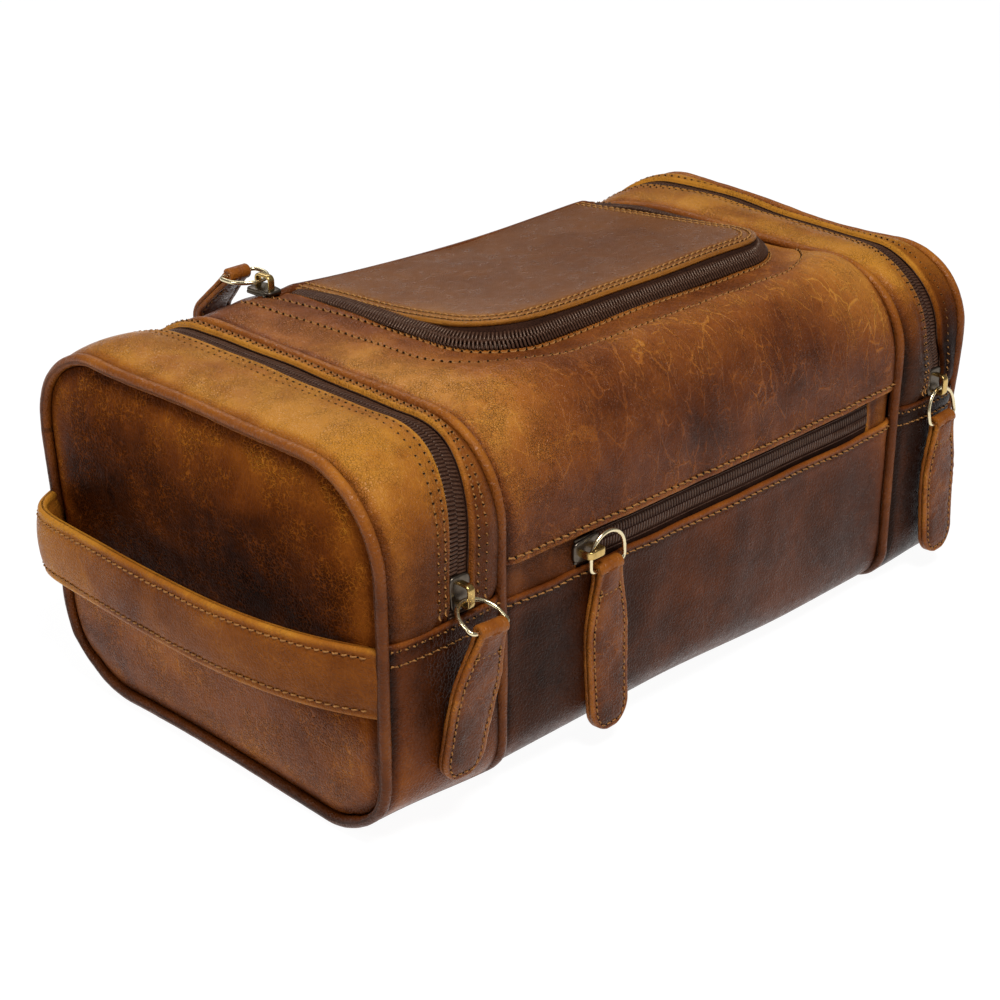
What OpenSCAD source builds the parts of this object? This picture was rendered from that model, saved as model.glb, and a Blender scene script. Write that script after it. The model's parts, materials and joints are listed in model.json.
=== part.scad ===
// Leather shaving kit bag: a main compartment with a zipped lid, a zipped front pocket,
// and an end compartment on each side whose zip runs as an arch over the top.
// Frame: X along the bag, +Y to the back, +Z up, origin at the centre of the bottom face.

/* [Bag] */
// Width of the left end compartment
left_w = 50; // [40:1:60]
// Width of the main compartment
main_w = 209; // [190:1:230]
// Width of the right end compartment
right_w = 41; // [36:1:50]
// Depth over the front and back leather
bag_depth = 168; // [150:1:190]
// Height over the top leather
bag_height = 126.2; // [120:0.2:130]
// Radius of the two long top edges
top_r = 32; // [24:1:36]
// Radius of the two long bottom edges
bottom_r = 12; // [8:1:18]
// Height at which the end compartments' covers begin
seam_z = 73; // [70:1:74]

/* [Leather] */
// Thickness of the leather
leather_t = 2; // [1.5:0.1:2.2]
// Radius of the piping round the seams
piping_r = 2.2; // [1.8:0.1:2.2]
// Thickness of the lining cloth
lining_t = 0.8; // [0.5:0.1:0.8]
// Thickness of the board that stiffens the base
board_t = 1.8; // [1.2:0.1:1.9]

/* [Zips] */
// Width of the opening that shows the zip
zip_gap = 11; // [10:0.5:12]
// Width of the closed coil
coil_w = 5.6; // [5:0.2:6]
// Centre line of the left end zip
left_zip_x = -117; // [-119:0.5:-114]
// Centre line of the right end zip
right_zip_x = 134; // [132:0.5:136]
// Centre line of the pocket zip
pocket_zip_z = 76; // [76:0.5:77]

/* [Lid] */
// Left edge of the lid
lid_left = -58; // [-60:1:-56]
// Right edge of the lid
lid_right = 95; // [88:1:96]
// Length of the lid from its hinge to its front edge
lid_depth = 98; // [90:1:100]
// How far the lid's front edge stands above its hinge
lid_rise = 8; // [6:0.5:9]
// Radius of the lid's front corners
lid_r = 22; // [16:1:26]

/* [Pulls] */
// Length of a pull tab below its ring
tab_len = 61; // [50:1:61]
// Width of a pull tab near its round end
tab_w = 19; // [14:1:19]
// Width of a pull tab at its ring
neck_w = 11; // [8:0.5:11.5]
// Thickness of a pull tab, which is two layers of leather
tab_t = 3.6; // [2:0.1:3.8]

/* [Handle] */
// Width of the handle strap
strap_w = 24; // [20:1:24]
// How far the handle stands off the end panel
strap_bow = 15; // [13:1:18]

/* [Hidden] */
$fn = 64;

far = 400;                 // reach of the boxes that cut shapes
gap = 0.3;                 // room between pieces that move apart
half_d = bag_depth / 2;

// The four piping seams along X
bag_len = left_w + main_w + right_w;
left_x = -bag_len / 2;
left_in = left_x + left_w;
right_in = left_in + main_w;
right_x = right_in + right_w;
flap_z = seam_z + gap;     // the covers' lower edge

// Zip
tape_t = 0.6;
tape_seam = 4;             // width of tape sewn under the leather
coil_proud = 1.7;          // the coil's height above its tape
coil_top = leather_t - coil_proud;
main_edge_z = pocket_zip_z + 6;
pocket_edge_z = pocket_zip_z - 6;

// Front pocket
pocket_left = -65.5;
pocket_right = 92;
end_tab_l = 30;
end_tab_r = 13;

// Lid
hinge_y = 60.3;
hinge_z = bag_height + 1.2;
lid_tilt = atan2(lid_rise, lid_depth);
rim_z = bag_height + 0.4;  // underside of what the lid carries
lid_gap = 6;               // from the lid's edge to the edge of its opening
edge_play = 0.4;           // from the lid's rear edge to the back panel

// Lining
inner = 4;                 // from the leather's outside to the lining

// Pulls
wire_r = 0.75;
ring_r = 8;                // radius of the ring's round part
ring_leg = 2.5;
bend_r = 2;                // radius of the ring's two bends beside its bar
ring_h = ring_r + ring_leg + bend_r;
fit_play = 0.05;           // running clearance of the tab on the ring's bar
loop_r = wire_r + fit_play + 1.6;
plate_len = 12;
plate_w = 9;
plate_t = 1.7;
plate_off = 0.3;
arch_len = 8.4;
arch_h = 5.2;
arch_w = 2.6;
arch_t = 1.2;
wire_off = 2.2;            // from the slider's face to the ring's wire
front_face = -half_d - plate_off - plate_t;
wire_y = front_face - wire_off;
lid_face = rim_z + 0.1 + plate_t;

end_tab_len = 56;          // the two end tabs are a little shorter than the pocket's
wire_drop = 1.6;           // the hanging wire's place below the bridge's middle

// Each end pull: the slider's x and z, then how far the pull leans to the left, how far its
// ring stands out from hanging, and how far its tab leans back in
left_pull = [[-119.5, 81.2], 4, 65, 11];
right_pull = [[132, 78.2], -3, 10, 0];
// The pocket's ring hangs by its shoulder, so its middle is off the slider
pocket_slide_x = -62.5;
pocket_lean = -2;
shoulder = [sqrt(pow(ring_r, 2) - pow(3.5, 2)), ring_r - 3.5];
lid_slide = [-67, 66];
lid_ring_x = -68;
lid_wire = [lid_slide[1] + wire_drop, lid_face + wire_off];
lid_tab_w = 15.6;

// ---------- outlines ----------

// The bag's cross-section, inset from the leather's outer face and drawn as [y, z]; it stands
// on the height base
module section(inset = 0, base = 0) {
    h = half_d - inset;
    rt = top_r - inset;
    rb = max(bottom_r - inset, 1);
    top = bag_height - inset;
    low = base + inset;
    translate([-h, low + rb]) square([2 * h, top - low - rt - rb]);
    translate([-h + rb, low]) square([2 * (h - rb), rb + 1]);
    translate([-h + rt, top - rt - 1]) square([2 * (h - rt), rt + 1]);
    for (s = [-1, 1]) {
        translate([s * (h - rt), top - rt]) circle(rt);
        translate([s * (h - rb), low + rb]) circle(rb);
    }
}

module wall(outer, inside, base = 0) {
    difference() {
        section(outer, base);
        section(inside, base);
    }
}

module above(z) {
    intersection() {
        children();
        translate([-far / 2, z]) square(far);
    }
}

module below(z) {
    intersection() {
        children();
        translate([-far / 2, z - far]) square(far);
    }
}

// Extrudes a cross-section along X from x0 to x1
module along(x0, x1) {
    translate([x0, 0, 0]) rotate([90, 0, 90]) linear_extrude(x1 - x0) children();
}

// The lid seen from above, grown by g; the hinge line is at y = 0
module lid_outline(g = 0, back = -edge_play) {
    x0 = lid_left - g;
    x1 = lid_right + g;
    y0 = -lid_depth - g;
    r = lid_r + g;
    translate([x0, y0 + r]) square([x1 - x0, back - y0 - r]);
    translate([x0 + r, y0]) square([x1 - x0 - 2 * r, r + 1]);
    translate([x0 + r, y0 + r]) circle(r);
    translate([x1 - r, y0 + r]) circle(r);
}

// A prism between two growths of the lid's outline, from z0 to z1
module lid_rim(g0, g1, z0, z1, back = -edge_play) {
    translate([0, hinge_y, z0]) linear_extrude(z1 - z0) difference() {
        lid_outline(g1, back);
        lid_outline(g0, back + 1);
    }
}

// ---------- main compartment ----------

module main_top_panel() {
    color("peru") difference() {
        along(left_in + piping_r, right_in - piping_r) intersection() {
            wall(0, leather_t);
            translate([hinge_y - far, main_edge_z]) square(far);
        }
        translate([0, hinge_y, bag_height / 2]) linear_extrude(bag_height) lid_outline(lid_gap, 1);
    }
}

module back_panel() {
    color("sienna") along(left_in + piping_r, right_in - piping_r) intersection() {
        wall(0, leather_t);
        union() {
            translate([hinge_y, bag_height / 2]) square(far);
            translate([half_d - bottom_r, -1]) square([far, bag_height]);
        }
    }
}

module bottom_panel() {
    flat = bag_depth - 2 * bottom_r;
    color("saddlebrown") translate([left_in + piping_r, -flat / 2, 0])
        cube([main_w - 2 * piping_r, flat, leather_t]);
}

module front_pocket_panel() {
    color("saddlebrown") along(left_in + piping_r, right_in - piping_r) intersection() {
        below(pocket_edge_z) wall(0, leather_t);
        translate([-half_d + bottom_r - far, -1]) square(far);
    }
}

// Two leather tabs that close the slot beyond the zip's ends
module pocket_end_tabs() {
    h = main_edge_z - pocket_edge_z;
    color("chocolate") for (t = [[pocket_left - end_tab_l, end_tab_l], [pocket_right, end_tab_r]])
        translate([t[0], -half_d + 0.1, pocket_edge_z]) cube([t[1], leather_t, h]);
}

// One half of the pocket zip; s is 1 for the upper half
module pocket_zip_half(s) {
    reach = (main_edge_z - pocket_edge_z) / 2 + tape_seam;
    low = s > 0 ? pocket_zip_z : pocket_zip_z - reach;
    coil_low = s > 0 ? pocket_zip_z : pocket_zip_z - coil_w / 2;
    len = pocket_right - pocket_left;
    color([0.2, 0.13, 0.1]) {
        translate([pocket_left, -half_d + leather_t, low]) cube([len, tape_t, reach]);
        translate([pocket_left, -half_d + coil_top, coil_low]) cube([len, coil_proud, coil_w / 2]);
    }
}

module pocket_zip_upper() { pocket_zip_half(1); }
module pocket_zip_lower() { pocket_zip_half(-1); }

// The pocket's back wall, hung behind the zip tapes and sewn to the front leather round its edge
module pocket_lining() {
    y = -half_d + leather_t + tape_t + 0.2;
    low = 16;
    color("tan") translate([pocket_left - end_tab_l, y, low])
        cube([pocket_right + end_tab_r - pocket_left + end_tab_l, lining_t, main_edge_z + 4 - low]);
}

module base_board() {
    flat = bag_depth - 2 * bottom_r - 2;
    color("dimgray") translate([left_in + 3, -flat / 2, leather_t]) cube([main_w - 6, flat, board_t]);
}

module main_lining() {
    color("tan") difference() {
        along(left_in + piping_r, right_in - piping_r) wall(inner, inner + lining_t);
        translate([0, hinge_y, bag_height / 2]) linear_extrude(bag_height) lid_outline(lid_gap, 8);
    }
}

// ---------- seams ----------

// One straight run of piping between two points of the cross-section
module piping_run(a, b) {
    d = b - a;
    translate([0, a[0], a[1]]) rotate([-atan2(d[0], d[1]), 0, 0]) cylinder(r = piping_r, h = norm(d));
}

// One corner of piping of radius r about c, starting at the given angle in the y-z plane
module piping_corner(c, r, start) {
    translate([0, c[0], c[1]]) rotate([start, 0, 0]) rotate([90, 0, 90])
        rotate_extrude(angle = 90) translate([r, 0]) circle(piping_r);
}

// Piping round the whole section, with the flange that is caught in the seam
module piping_ring(x) {
    low = piping_r;
    rb = bottom_r;
    yb = half_d - rb;
    yt = half_d - top_r;
    zt = bag_height - top_r;
    zb = low + rb;
    translate([x, 0, 0]) {
        for (s = [-1, 1]) piping_run([s * half_d, zb], [s * half_d, zt]);
        piping_run([-yb, low], [yb, low]);
        piping_run([-yt, bag_height], [yt, bag_height]);
        piping_corner([yt, zt], top_r, 0);
        piping_corner([-yt, zt], top_r, 90);
        piping_corner([-yb, zb], rb, 180);
        piping_corner([yb, zb], rb, 270);
    }
}

module seam_flange(x0, x1) {
    along(x0, x1) wall(1, 8);
}

module cut_above(z) {
    intersection() {
        children();
        translate([-far / 2, -far / 2, z]) cube(far);
    }
}

module cut_below(z) {
    intersection() {
        children();
        translate([-far / 2, -far / 2, z - far]) cube(far);
    }
}

module inner_piping(x) {
    color("saddlebrown") {
        piping_ring(x);
        seam_flange(x - 0.5, x + 0.5);
    }
}

module divider(x) {
    color("tan") along(x - 0.5, x + 0.5) section(8);
}

module left_inner_piping() { inner_piping(left_in); }
module right_inner_piping() { inner_piping(right_in); }
module left_divider() { divider(left_in); }
module right_divider() { divider(right_in); }
module left_outer_piping_lower() { color("sienna") cut_below(seam_z) piping_ring(left_x); }
module left_outer_piping_upper() { color("sienna") cut_above(flap_z) piping_ring(left_x); }
module right_outer_piping_lower() { color("sienna") cut_below(seam_z) piping_ring(right_x); }
module right_outer_piping_upper() { color("sienna") cut_above(flap_z) piping_ring(right_x); }

// ---------- end compartments ----------

// s is -1 for the left end and 1 for the right end
function end_in(s) = s < 0 ? left_in : right_in;
function end_out(s) = s < 0 ? left_x : right_x;
function zip_x(s) = s < 0 ? left_zip_x : right_zip_x;

// Extrudes a cross-section between two places, in either order
module between(a, b) {
    along(min(a, b), max(a, b)) children();
}

module gusset_lower(s) {
    color("saddlebrown") between(end_in(s) + s * piping_r, end_out(s) - s * piping_r)
        below(seam_z) wall(0, leather_t);
}

module gusset_inner(s) {
    color("chocolate") between(end_in(s) + s * piping_r, zip_x(s) - s * zip_gap / 2)
        above(seam_z) wall(0, leather_t);
}

module gusset_outer(s) {
    color("chocolate") between(zip_x(s) + s * zip_gap / 2, end_out(s) - s * piping_r)
        above(flap_z) wall(0, leather_t);
}

// One half of an end zip; side is -1 for the half on the bag and 1 for the half on the cover
module zip_half(s, side) {
    start = zip_x(s) + s * side * gap / 2;
    z = side < 0 ? seam_z : flap_z;
    color([0.2, 0.13, 0.1]) {
        between(start, start + s * side * (zip_gap / 2 + tape_seam)) above(z)
            wall(leather_t, leather_t + tape_t);
        between(start, start + s * side * coil_w / 2) above(z) wall(coil_top, leather_t);
    }
}

module end_panel(s) {
    color("sienna") between(end_out(s) + s * piping_r, end_out(s) + s * (piping_r - leather_t))
        section(piping_r + 0.1, piping_r);
}

// The end compartment's lining: its outer wall and the strip round it, out to the given edge
module end_lining(s, edge) {
    wall_x = end_out(s) + s * (piping_r - leather_t);
    color("tan") {
        between(wall_x, wall_x - s * lining_t) section(inner, piping_r);
        between(wall_x - s * lining_t, edge) wall(inner, inner + lining_t, piping_r);
    }
}

module left_gusset_lower() { gusset_lower(-1); }
module right_gusset_lower() { gusset_lower(1); }
module left_gusset_inner() { gusset_inner(-1); }
module right_gusset_inner() { gusset_inner(1); }
module left_gusset_outer() { gusset_outer(-1); }
module right_gusset_outer() { gusset_outer(1); }
module left_zip_inner() { zip_half(-1, -1); }
module right_zip_inner() { zip_half(1, -1); }
module left_zip_outer() { zip_half(-1, 1); }
module right_zip_outer() { zip_half(1, 1); }
module left_end_panel_lower() { cut_below(seam_z) end_panel(-1); }
module right_end_panel_lower() { cut_below(seam_z) end_panel(1); }
module left_end_panel_upper() { cut_above(flap_z) end_panel(-1); }
module right_end_panel_upper() { cut_above(flap_z) end_panel(1); }
module left_lining_lower() { cut_below(seam_z) end_lining(-1, left_in - 1); }
module right_lining_lower() { cut_below(seam_z) end_lining(1, right_in + 1); }
module left_lining_upper() { cut_above(flap_z) end_lining(-1, left_zip_x - zip_gap / 2); }
module right_lining_upper() { cut_above(flap_z) end_lining(1, right_zip_x + zip_gap / 2); }

// ---------- lid ----------

// Places a shape drawn flat at the hinge line onto the sloping lid
module on_lid() {
    translate([0, hinge_y, hinge_z]) rotate([-lid_tilt, 0, 0]) children();
}

module lid_panel() {
    color("sienna") on_lid() translate([0, 0, -leather_t]) linear_extrude(leather_t) lid_outline();
}

module lid_lining() {
    color("tan") on_lid() translate([0, 0, -leather_t - lining_t]) linear_extrude(lining_t)
        lid_outline(-1.5, -4);
}

// The lid's half of the zip: tape that hangs from the lid's edge, and the coil along its foot
module lid_zip_inner() {
    skirt = 12;
    color([0.2, 0.13, 0.1]) {
        cut_above(rim_z) on_lid() translate([0, 0, -leather_t - skirt]) linear_extrude(skirt)
            difference() {
                lid_outline(0, -2);
                lid_outline(-1.4, 2);
            }
        difference() {
            lid_rim(-0.8, coil_w / 2 - 0.4, rim_z, rim_z + 2.4, -2);
            on_lid() translate([0, 0, -leather_t]) linear_extrude(skirt) lid_outline(0.05, 2);
        }
    }
}

module lid_zip_outer() {
    coil_in = coil_w / 2 - 0.1;
    color([0.2, 0.13, 0.1]) {
        lid_rim(coil_in, lid_gap + tape_seam, bag_height - leather_t - tape_t, bag_height - leather_t,
                half_d - top_r - hinge_y);
        lid_rim(coil_in, coil_in + 2.4, bag_height - leather_t, bag_height);
    }
}

// The rolled welt along the hinge seam
module lid_welt() {
    r = 1.2;
    y = hinge_y + r + 0.1;
    z = bag_height - top_r + sqrt(pow(top_r + r + 0.1, 2) - pow(y - half_d + top_r, 2));
    color([0.25, 0.13, 0.07]) translate([lid_left + 1, y, z]) rotate([0, 90, 0])
        cylinder(r = r, h = lid_right - lid_left - 2);
}

// ---------- handle ----------

// One layer of the strap, an arc whose outer face is inset from the outermost face
module strap_layer(inset, t) {
    face = left_x - piping_r;
    half_span = half_d - 4;
    r = (pow(half_span, 2) + pow(strap_bow, 2)) / (2 * strap_bow);
    color("peru") intersection() {
        translate([face - strap_bow + r, 0, seam_z - 1 - strap_w]) rotate([0, 0, 150])
            rotate_extrude(angle = 60, $fn = 128) translate([r - inset - t, 0]) square([t, strap_w]);
        translate([face - far, -far / 2, 0]) cube([far, far, bag_height]);
    }
}

module handle_outer() { strap_layer(0, 1.6); }
module handle_inner() { strap_layer(1.6, 1.6); }

// ---------- zip pulls ----------
// Each is drawn with the slider's outer face at z = 0 facing +z and the zip running along y.

module slider_plate(width = plate_w) {
    color([0.25, 0.2, 0.15]) translate([0, 0, -plate_t]) linear_extrude(plate_t) {
        translate([-width / 2, -plate_len / 2 + 3]) square([width, plate_len - 3]);
        translate([-width / 2 + 3, -plate_len / 2]) square([width - 6, 4]);
        for (s = [-1, 1]) translate([s * (width / 2 - 3), -plate_len / 2 + 3]) circle(3);
    }
}

module bridge() {
    color("goldenrod") translate([-arch_w / 2, -arch_len / 2, 0]) difference() {
        cube([arch_w, arch_len, arch_h]);
        translate([-1, arch_t, -1]) cube([arch_w + 2, arch_len - 2 * arch_t, arch_h - arch_t + 1]);
    }
}

// The D-shaped ring with the top of its round part at the origin, hanging along -y
module d_ring() {
    color("khaki") {
        translate([0, -ring_r, 0]) rotate_extrude(angle = 180) translate([ring_r, 0]) circle(wire_r);
        for (s = [-1, 1]) {
            translate([s * ring_r, -ring_r, 0]) rotate([90, 0, 0]) cylinder(r = wire_r, h = ring_leg);
            translate([s * (ring_r - bend_r), -ring_r - ring_leg, 0]) rotate([0, 0, s < 0 ? 180 : 270])
                rotate_extrude(angle = 90) translate([bend_r, 0]) circle(wire_r);
        }
        translate([bend_r - ring_r, -ring_h, 0]) rotate([0, 90, 0])
            cylinder(r = wire_r, h = 2 * (ring_r - bend_r));
    }
}

// The blade of a pull tab seen from the front, hanging from y = 0
module tab_outline(len) {
    r = tab_w / 2;
    polygon([[-neck_w / 2, 0], [neck_w / 2, 0], [r - 1.5, -len / 2], [r, r - len], [-r, r - len],
             [1.5 - r, -len / 2]]);
    translate([0, r - len]) circle(r);
}

// A pull tab whose loop turns on the ring's bar at the origin
module pull_tab(len = tab_len) {
    color("chocolate") difference() {
        union() {
            rotate([0, 90, 0]) cylinder(r = loop_r, h = neck_w, center = true);
            translate([0, 0, -tab_t / 2]) linear_extrude(tab_t) tab_outline(len);
        }
        rotate([0, 90, 0]) cylinder(r = wire_r + fit_play, h = neck_w + 2, center = true);
    }
}

// Turns a pull's parts to face the front, with the zip running up the bag
module facing_front(x, y, z) {
    translate([x, y, z]) rotate([90, 0, 0]) children();
}

module end_slider(pull) { facing_front(pull[0][0], front_face, pull[0][1]) slider_plate(); }
module end_bridge(pull) { facing_front(pull[0][0], front_face, pull[0][1]) bridge(); }

// The frame of an end pull's wire, leaning sideways with the pull
module at_wire(pull) {
    facing_front(pull[0][0], wire_y, pull[0][1] - wire_drop) rotate([0, 0, -pull[1]]) children();
}

module end_ring(pull) { at_wire(pull) rotate([-pull[2], 0, 0]) d_ring(); }

module end_tab(pull) {
    at_wire(pull) rotate([-pull[2], 0, 0]) translate([0, -ring_h, 0])
        rotate([pull[2] + pull[3], 0, 0]) pull_tab(end_tab_len);
}

module left_slider() { end_slider(left_pull); }
module left_bridge() { end_bridge(left_pull); }
module left_ring() { end_ring(left_pull); }
module left_tab() { end_tab(left_pull); }
module right_slider() { end_slider(right_pull); }
module right_bridge() { end_bridge(right_pull); }
module right_ring() { end_ring(right_pull); }
module right_tab() { end_tab(right_pull); }

// The pocket's zip runs along X, so its bridge does too
module pocket_slider() {
    facing_front(pocket_slide_x, front_face, pocket_zip_z) rotate([0, 0, -90]) slider_plate();
}

module pocket_bridge() {
    facing_front(pocket_slide_x, front_face, pocket_zip_z) rotate([0, 0, 90]) bridge();
}

module at_shoulder() {
    facing_front(pocket_slide_x, wire_y, pocket_zip_z) rotate([0, 0, -pocket_lean])
        translate(shoulder) children();
}

module pocket_ring() { at_shoulder() d_ring(); }
module pocket_tab() { at_shoulder() translate([0, -ring_h, 0]) pull_tab(); }

module lid_slider() {
    translate([lid_slide[0], lid_slide[1], lid_face]) rotate([0, 0, 180]) slider_plate();
}

module lid_bridge() { translate([lid_slide[0], lid_slide[1], lid_face]) bridge(); }

// The ring lies back over the rear edge, and the tab bends down behind the bag
module lid_ring() {
    translate([lid_ring_x, lid_wire[0], lid_wire[1]]) rotate([0, 0, 180]) d_ring();
}

module lid_tab() {
    slope = 45;
    upper = 22;
    lower = tab_len - 8 - upper;
    r = lid_tab_w / 2;
    elbow = [upper * cos(slope), -upper * sin(slope)];
    color("chocolate") translate([lid_ring_x, lid_wire[0] + ring_h, lid_wire[1]]) difference() {
        intersection() {
            rotate([90, 0, 90]) linear_extrude(2 * lid_tab_w, center = true) {
                circle(loop_r);
                rotate(-slope) translate([0, -tab_t / 2]) square([upper, tab_t]);
                translate(elbow) circle(tab_t / 2 + 0.3);
                translate(elbow - [tab_t / 2, lower + r + 1]) square([tab_t, lower + r + 1]);
            }
            rotate([90, 0, 0]) linear_extrude(4 * upper, center = true) {
                polygon([[-neck_w / 2, loop_r + 1], [neck_w / 2, loop_r + 1], [neck_w / 2, elbow[1]],
                         [r - 1, elbow[1] - lower / 2], [r, elbow[1] - lower], [-r, elbow[1] - lower],
                         [1 - r, elbow[1] - lower / 2], [-neck_w / 2, elbow[1]]]);
                translate([0, elbow[1] - lower]) circle(r);
            }
        }
        rotate([0, 90, 0]) cylinder(r = wire_r + fit_play, h = neck_w + 2, center = true);
    }
}

main_top_panel();
back_panel();
bottom_panel();
front_pocket_panel();
pocket_end_tabs();
pocket_zip_upper();
pocket_zip_lower();
pocket_lining();
base_board();
main_lining();
left_divider();
right_divider();
left_inner_piping();
right_inner_piping();
left_outer_piping_lower();
right_outer_piping_lower();
left_gusset_lower();
right_gusset_lower();
left_gusset_inner();
right_gusset_inner();
left_zip_inner();
right_zip_inner();
left_end_panel_lower();
right_end_panel_lower();
left_lining_lower();
right_lining_lower();
lid_zip_outer();
lid_welt();
handle_outer();
handle_inner();
left_end_panel_upper();
left_gusset_outer();
left_outer_piping_upper();
left_zip_outer();
left_lining_upper();
right_end_panel_upper();
right_gusset_outer();
right_outer_piping_upper();
right_zip_outer();
right_lining_upper();
lid_panel();
lid_lining();
lid_zip_inner();
pocket_slider();
pocket_bridge();
pocket_ring();
pocket_tab();
left_slider();
left_bridge();
left_ring();
left_tab();
right_slider();
right_bridge();
right_ring();
right_tab();
lid_slider();
lid_bridge();
lid_ring();
lid_tab();
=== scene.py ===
# The looks of the leather shaving kit bag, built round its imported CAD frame.
# Working units are millimetres in the frame of the CAD model; meshes are scaled to metres when made.
import json
import math

import bpy
import numpy as np
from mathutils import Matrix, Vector


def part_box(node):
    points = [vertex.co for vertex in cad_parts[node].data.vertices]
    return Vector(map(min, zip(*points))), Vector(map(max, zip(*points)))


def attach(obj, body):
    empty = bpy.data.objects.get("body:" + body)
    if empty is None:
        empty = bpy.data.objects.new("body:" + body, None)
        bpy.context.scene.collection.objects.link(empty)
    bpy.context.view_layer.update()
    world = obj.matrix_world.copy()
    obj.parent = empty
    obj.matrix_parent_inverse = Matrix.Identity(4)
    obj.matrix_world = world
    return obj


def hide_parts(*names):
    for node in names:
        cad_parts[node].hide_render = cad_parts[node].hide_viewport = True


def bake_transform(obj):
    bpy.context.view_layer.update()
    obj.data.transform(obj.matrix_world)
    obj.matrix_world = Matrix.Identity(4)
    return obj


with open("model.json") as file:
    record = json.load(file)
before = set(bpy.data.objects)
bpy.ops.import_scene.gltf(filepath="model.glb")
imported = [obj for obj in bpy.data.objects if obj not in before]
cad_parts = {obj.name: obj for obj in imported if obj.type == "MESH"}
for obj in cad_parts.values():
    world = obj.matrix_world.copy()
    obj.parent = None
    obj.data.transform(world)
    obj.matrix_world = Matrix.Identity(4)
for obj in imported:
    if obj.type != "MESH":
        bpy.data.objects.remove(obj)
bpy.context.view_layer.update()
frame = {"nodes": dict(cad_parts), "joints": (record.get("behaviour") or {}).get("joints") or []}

MM = 0.001
RNG = np.random.default_rng(11)

# ---------- dimensions, from the frame ----------


def box(node):
    return [np.array(corner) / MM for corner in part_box(node)]


def middle(node):
    return sum(box(node)) / 2


def joint(name):
    return next(j for j in frame["joints"] if j["name"] == name)


def joint_at(name):
    return np.array(joint(name)["pos_m"]) / MM


LEFT, RIGHT = (middle(f"{side}_outer_piping_lower")[0] for side in ("left", "right"))
LEFT_IN, RIGHT_IN = (middle(f"{side}_inner_piping")[0] for side in ("left", "right"))
HALF_D = box("back_panel")[1][1]
TOP = box("main_top_panel")[1][2]
PIPING_R = (box("left_inner_piping")[1][0] - box("left_inner_piping")[0][0]) / 2
SEAM_Z = box("left_gusset_lower")[1][2]
MAIN_EDGE_Z = box("main_top_panel")[0][2]
POCKET_EDGE_Z = box("front_pocket_panel")[1][2]
POCKET_ZIP_Z = box("pocket_zip_upper")[0][2]
POCKET_X = [corner[0] for corner in box("pocket_zip_upper")]
LEFT_ZIP_X = (box("left_zip_inner")[0][0] + box("left_zip_outer")[1][0]) / 2
RIGHT_ZIP_X = (box("right_zip_inner")[1][0] + box("right_zip_outer")[0][0]) / 2
LID_X = [corner[0] for corner in box("lid_panel")]
HINGE_Y, HINGE_Z = joint_at("lid_hinge")[1:]
LID_DEPTH = HINGE_Y - box("lid_panel")[0][1]
WELT = middle("lid_welt")
STRAP_Z = [corner[2] for corner in box("handle_outer")]
STRAP_X = box("handle_outer")[0][0]

TOP_R = 32.0          # the section's rounding along its top edges
BOTTOM_R = 12.0
LEATHER = 2.0
EDGE_R = LEATHER / 2  # leather edges are turned over and rounded
LIP = EDGE_R * np.array([0, 0.06, 0.25, 0.55, 1.0, 1.7])   # close steps in from a rounded edge
SEAM_GAP = 1.0        # a panel stops this far from the middle of the piping beside it
ZIP_GAP = 9.8         # width of the opening that shows an end zip
ZIP_EDGE = ZIP_GAP / 2 - 0.6   # the strips' edges lie a little over the tape
COIL_W = 7.0
LID_GAP = 3.5
LID_R = 22.0
LID_RISE = 9.0
STITCH = 3.1          # length of one stitch and the gap after it
EDGE_ROW = 2.4        # distance of a stitch row from the edge it sews down
ROW_W = 0.9           # half-width of the groove that a row of stitches presses


# ---------- small mathematics ----------


def smooth(t):
    t = np.clip(t, 0, 1)
    return t * t * (3 - 2 * t)


def bump(value, centre, width):
    return np.exp(-((value - centre) / width) ** 2)


def squarish(value, power):
    return np.sign(value) * np.abs(value) ** power


def unit(v):
    v = np.asarray(v, float)
    return v / np.maximum(np.linalg.norm(v, axis=-1, keepdims=True), 1e-9)


def stacked(*values):
    """Values brought to one shape and put together along a new last axis."""
    return np.stack(np.broadcast_arrays(*values), -1)


def flat_rest(a, b, layer=0.0):
    """Texture coordinates of a flat piece; the layer sets it apart from its neighbours."""
    return stacked(a / 10, b / 10, layer)


def lengths_along(points):
    return np.concatenate([[0], np.cumsum(np.linalg.norm(np.diff(points, axis=0), axis=1))])


def waves(a, b, scale, seed, count=7):
    """A smooth random field of a and b, about -1 to 1, whose hills are about scale apart."""
    rng = np.random.default_rng(seed)
    total = 0
    for _ in range(count):
        angle, phase = rng.uniform(0, 2 * math.pi, 2)
        k = 2 * math.pi / (scale * rng.uniform(0.7, 1.6))
        total = total + np.sin(k * (a * math.cos(angle) + b * math.sin(angle)) + phase)
    return total / math.sqrt(count * 1.6)


def resample(points, step):
    """Points about a step apart along a polyline, and the directions there."""
    lengths = lengths_along(points)
    count = max(int(round(lengths[-1] / step)), 2)
    at = np.linspace(0, lengths[-1], count + 1)
    new = np.stack([np.interp(at, lengths, column) for column in points.T], 1)
    return new, unit(np.gradient(new, axis=0))


def stations(a, b, step, round_a=False, round_b=False):
    """Places from a to b about a step apart, and close together at an end with a rounded edge."""
    start = a + LIP if round_a else np.array([a])
    end = b - LIP[::-1] if round_b else np.array([b])
    count = max(int(round((end[0] - start[-1]) / step)), 1)
    return np.concatenate([start, np.linspace(start[-1], end[0], count + 1)[1:-1], end])


def edge_drop(distance):
    """How far a rounded edge falls away from the flat face at a distance from the edge."""
    inside = np.clip(EDGE_R - distance, 0, EDGE_R)
    return EDGE_R - np.sqrt(np.maximum(EDGE_R ** 2 - inside ** 2, 0))


# ---------- the bag's section ----------
# Length s runs from the middle of the bottom, up the front, over the top and down the back.


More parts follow.
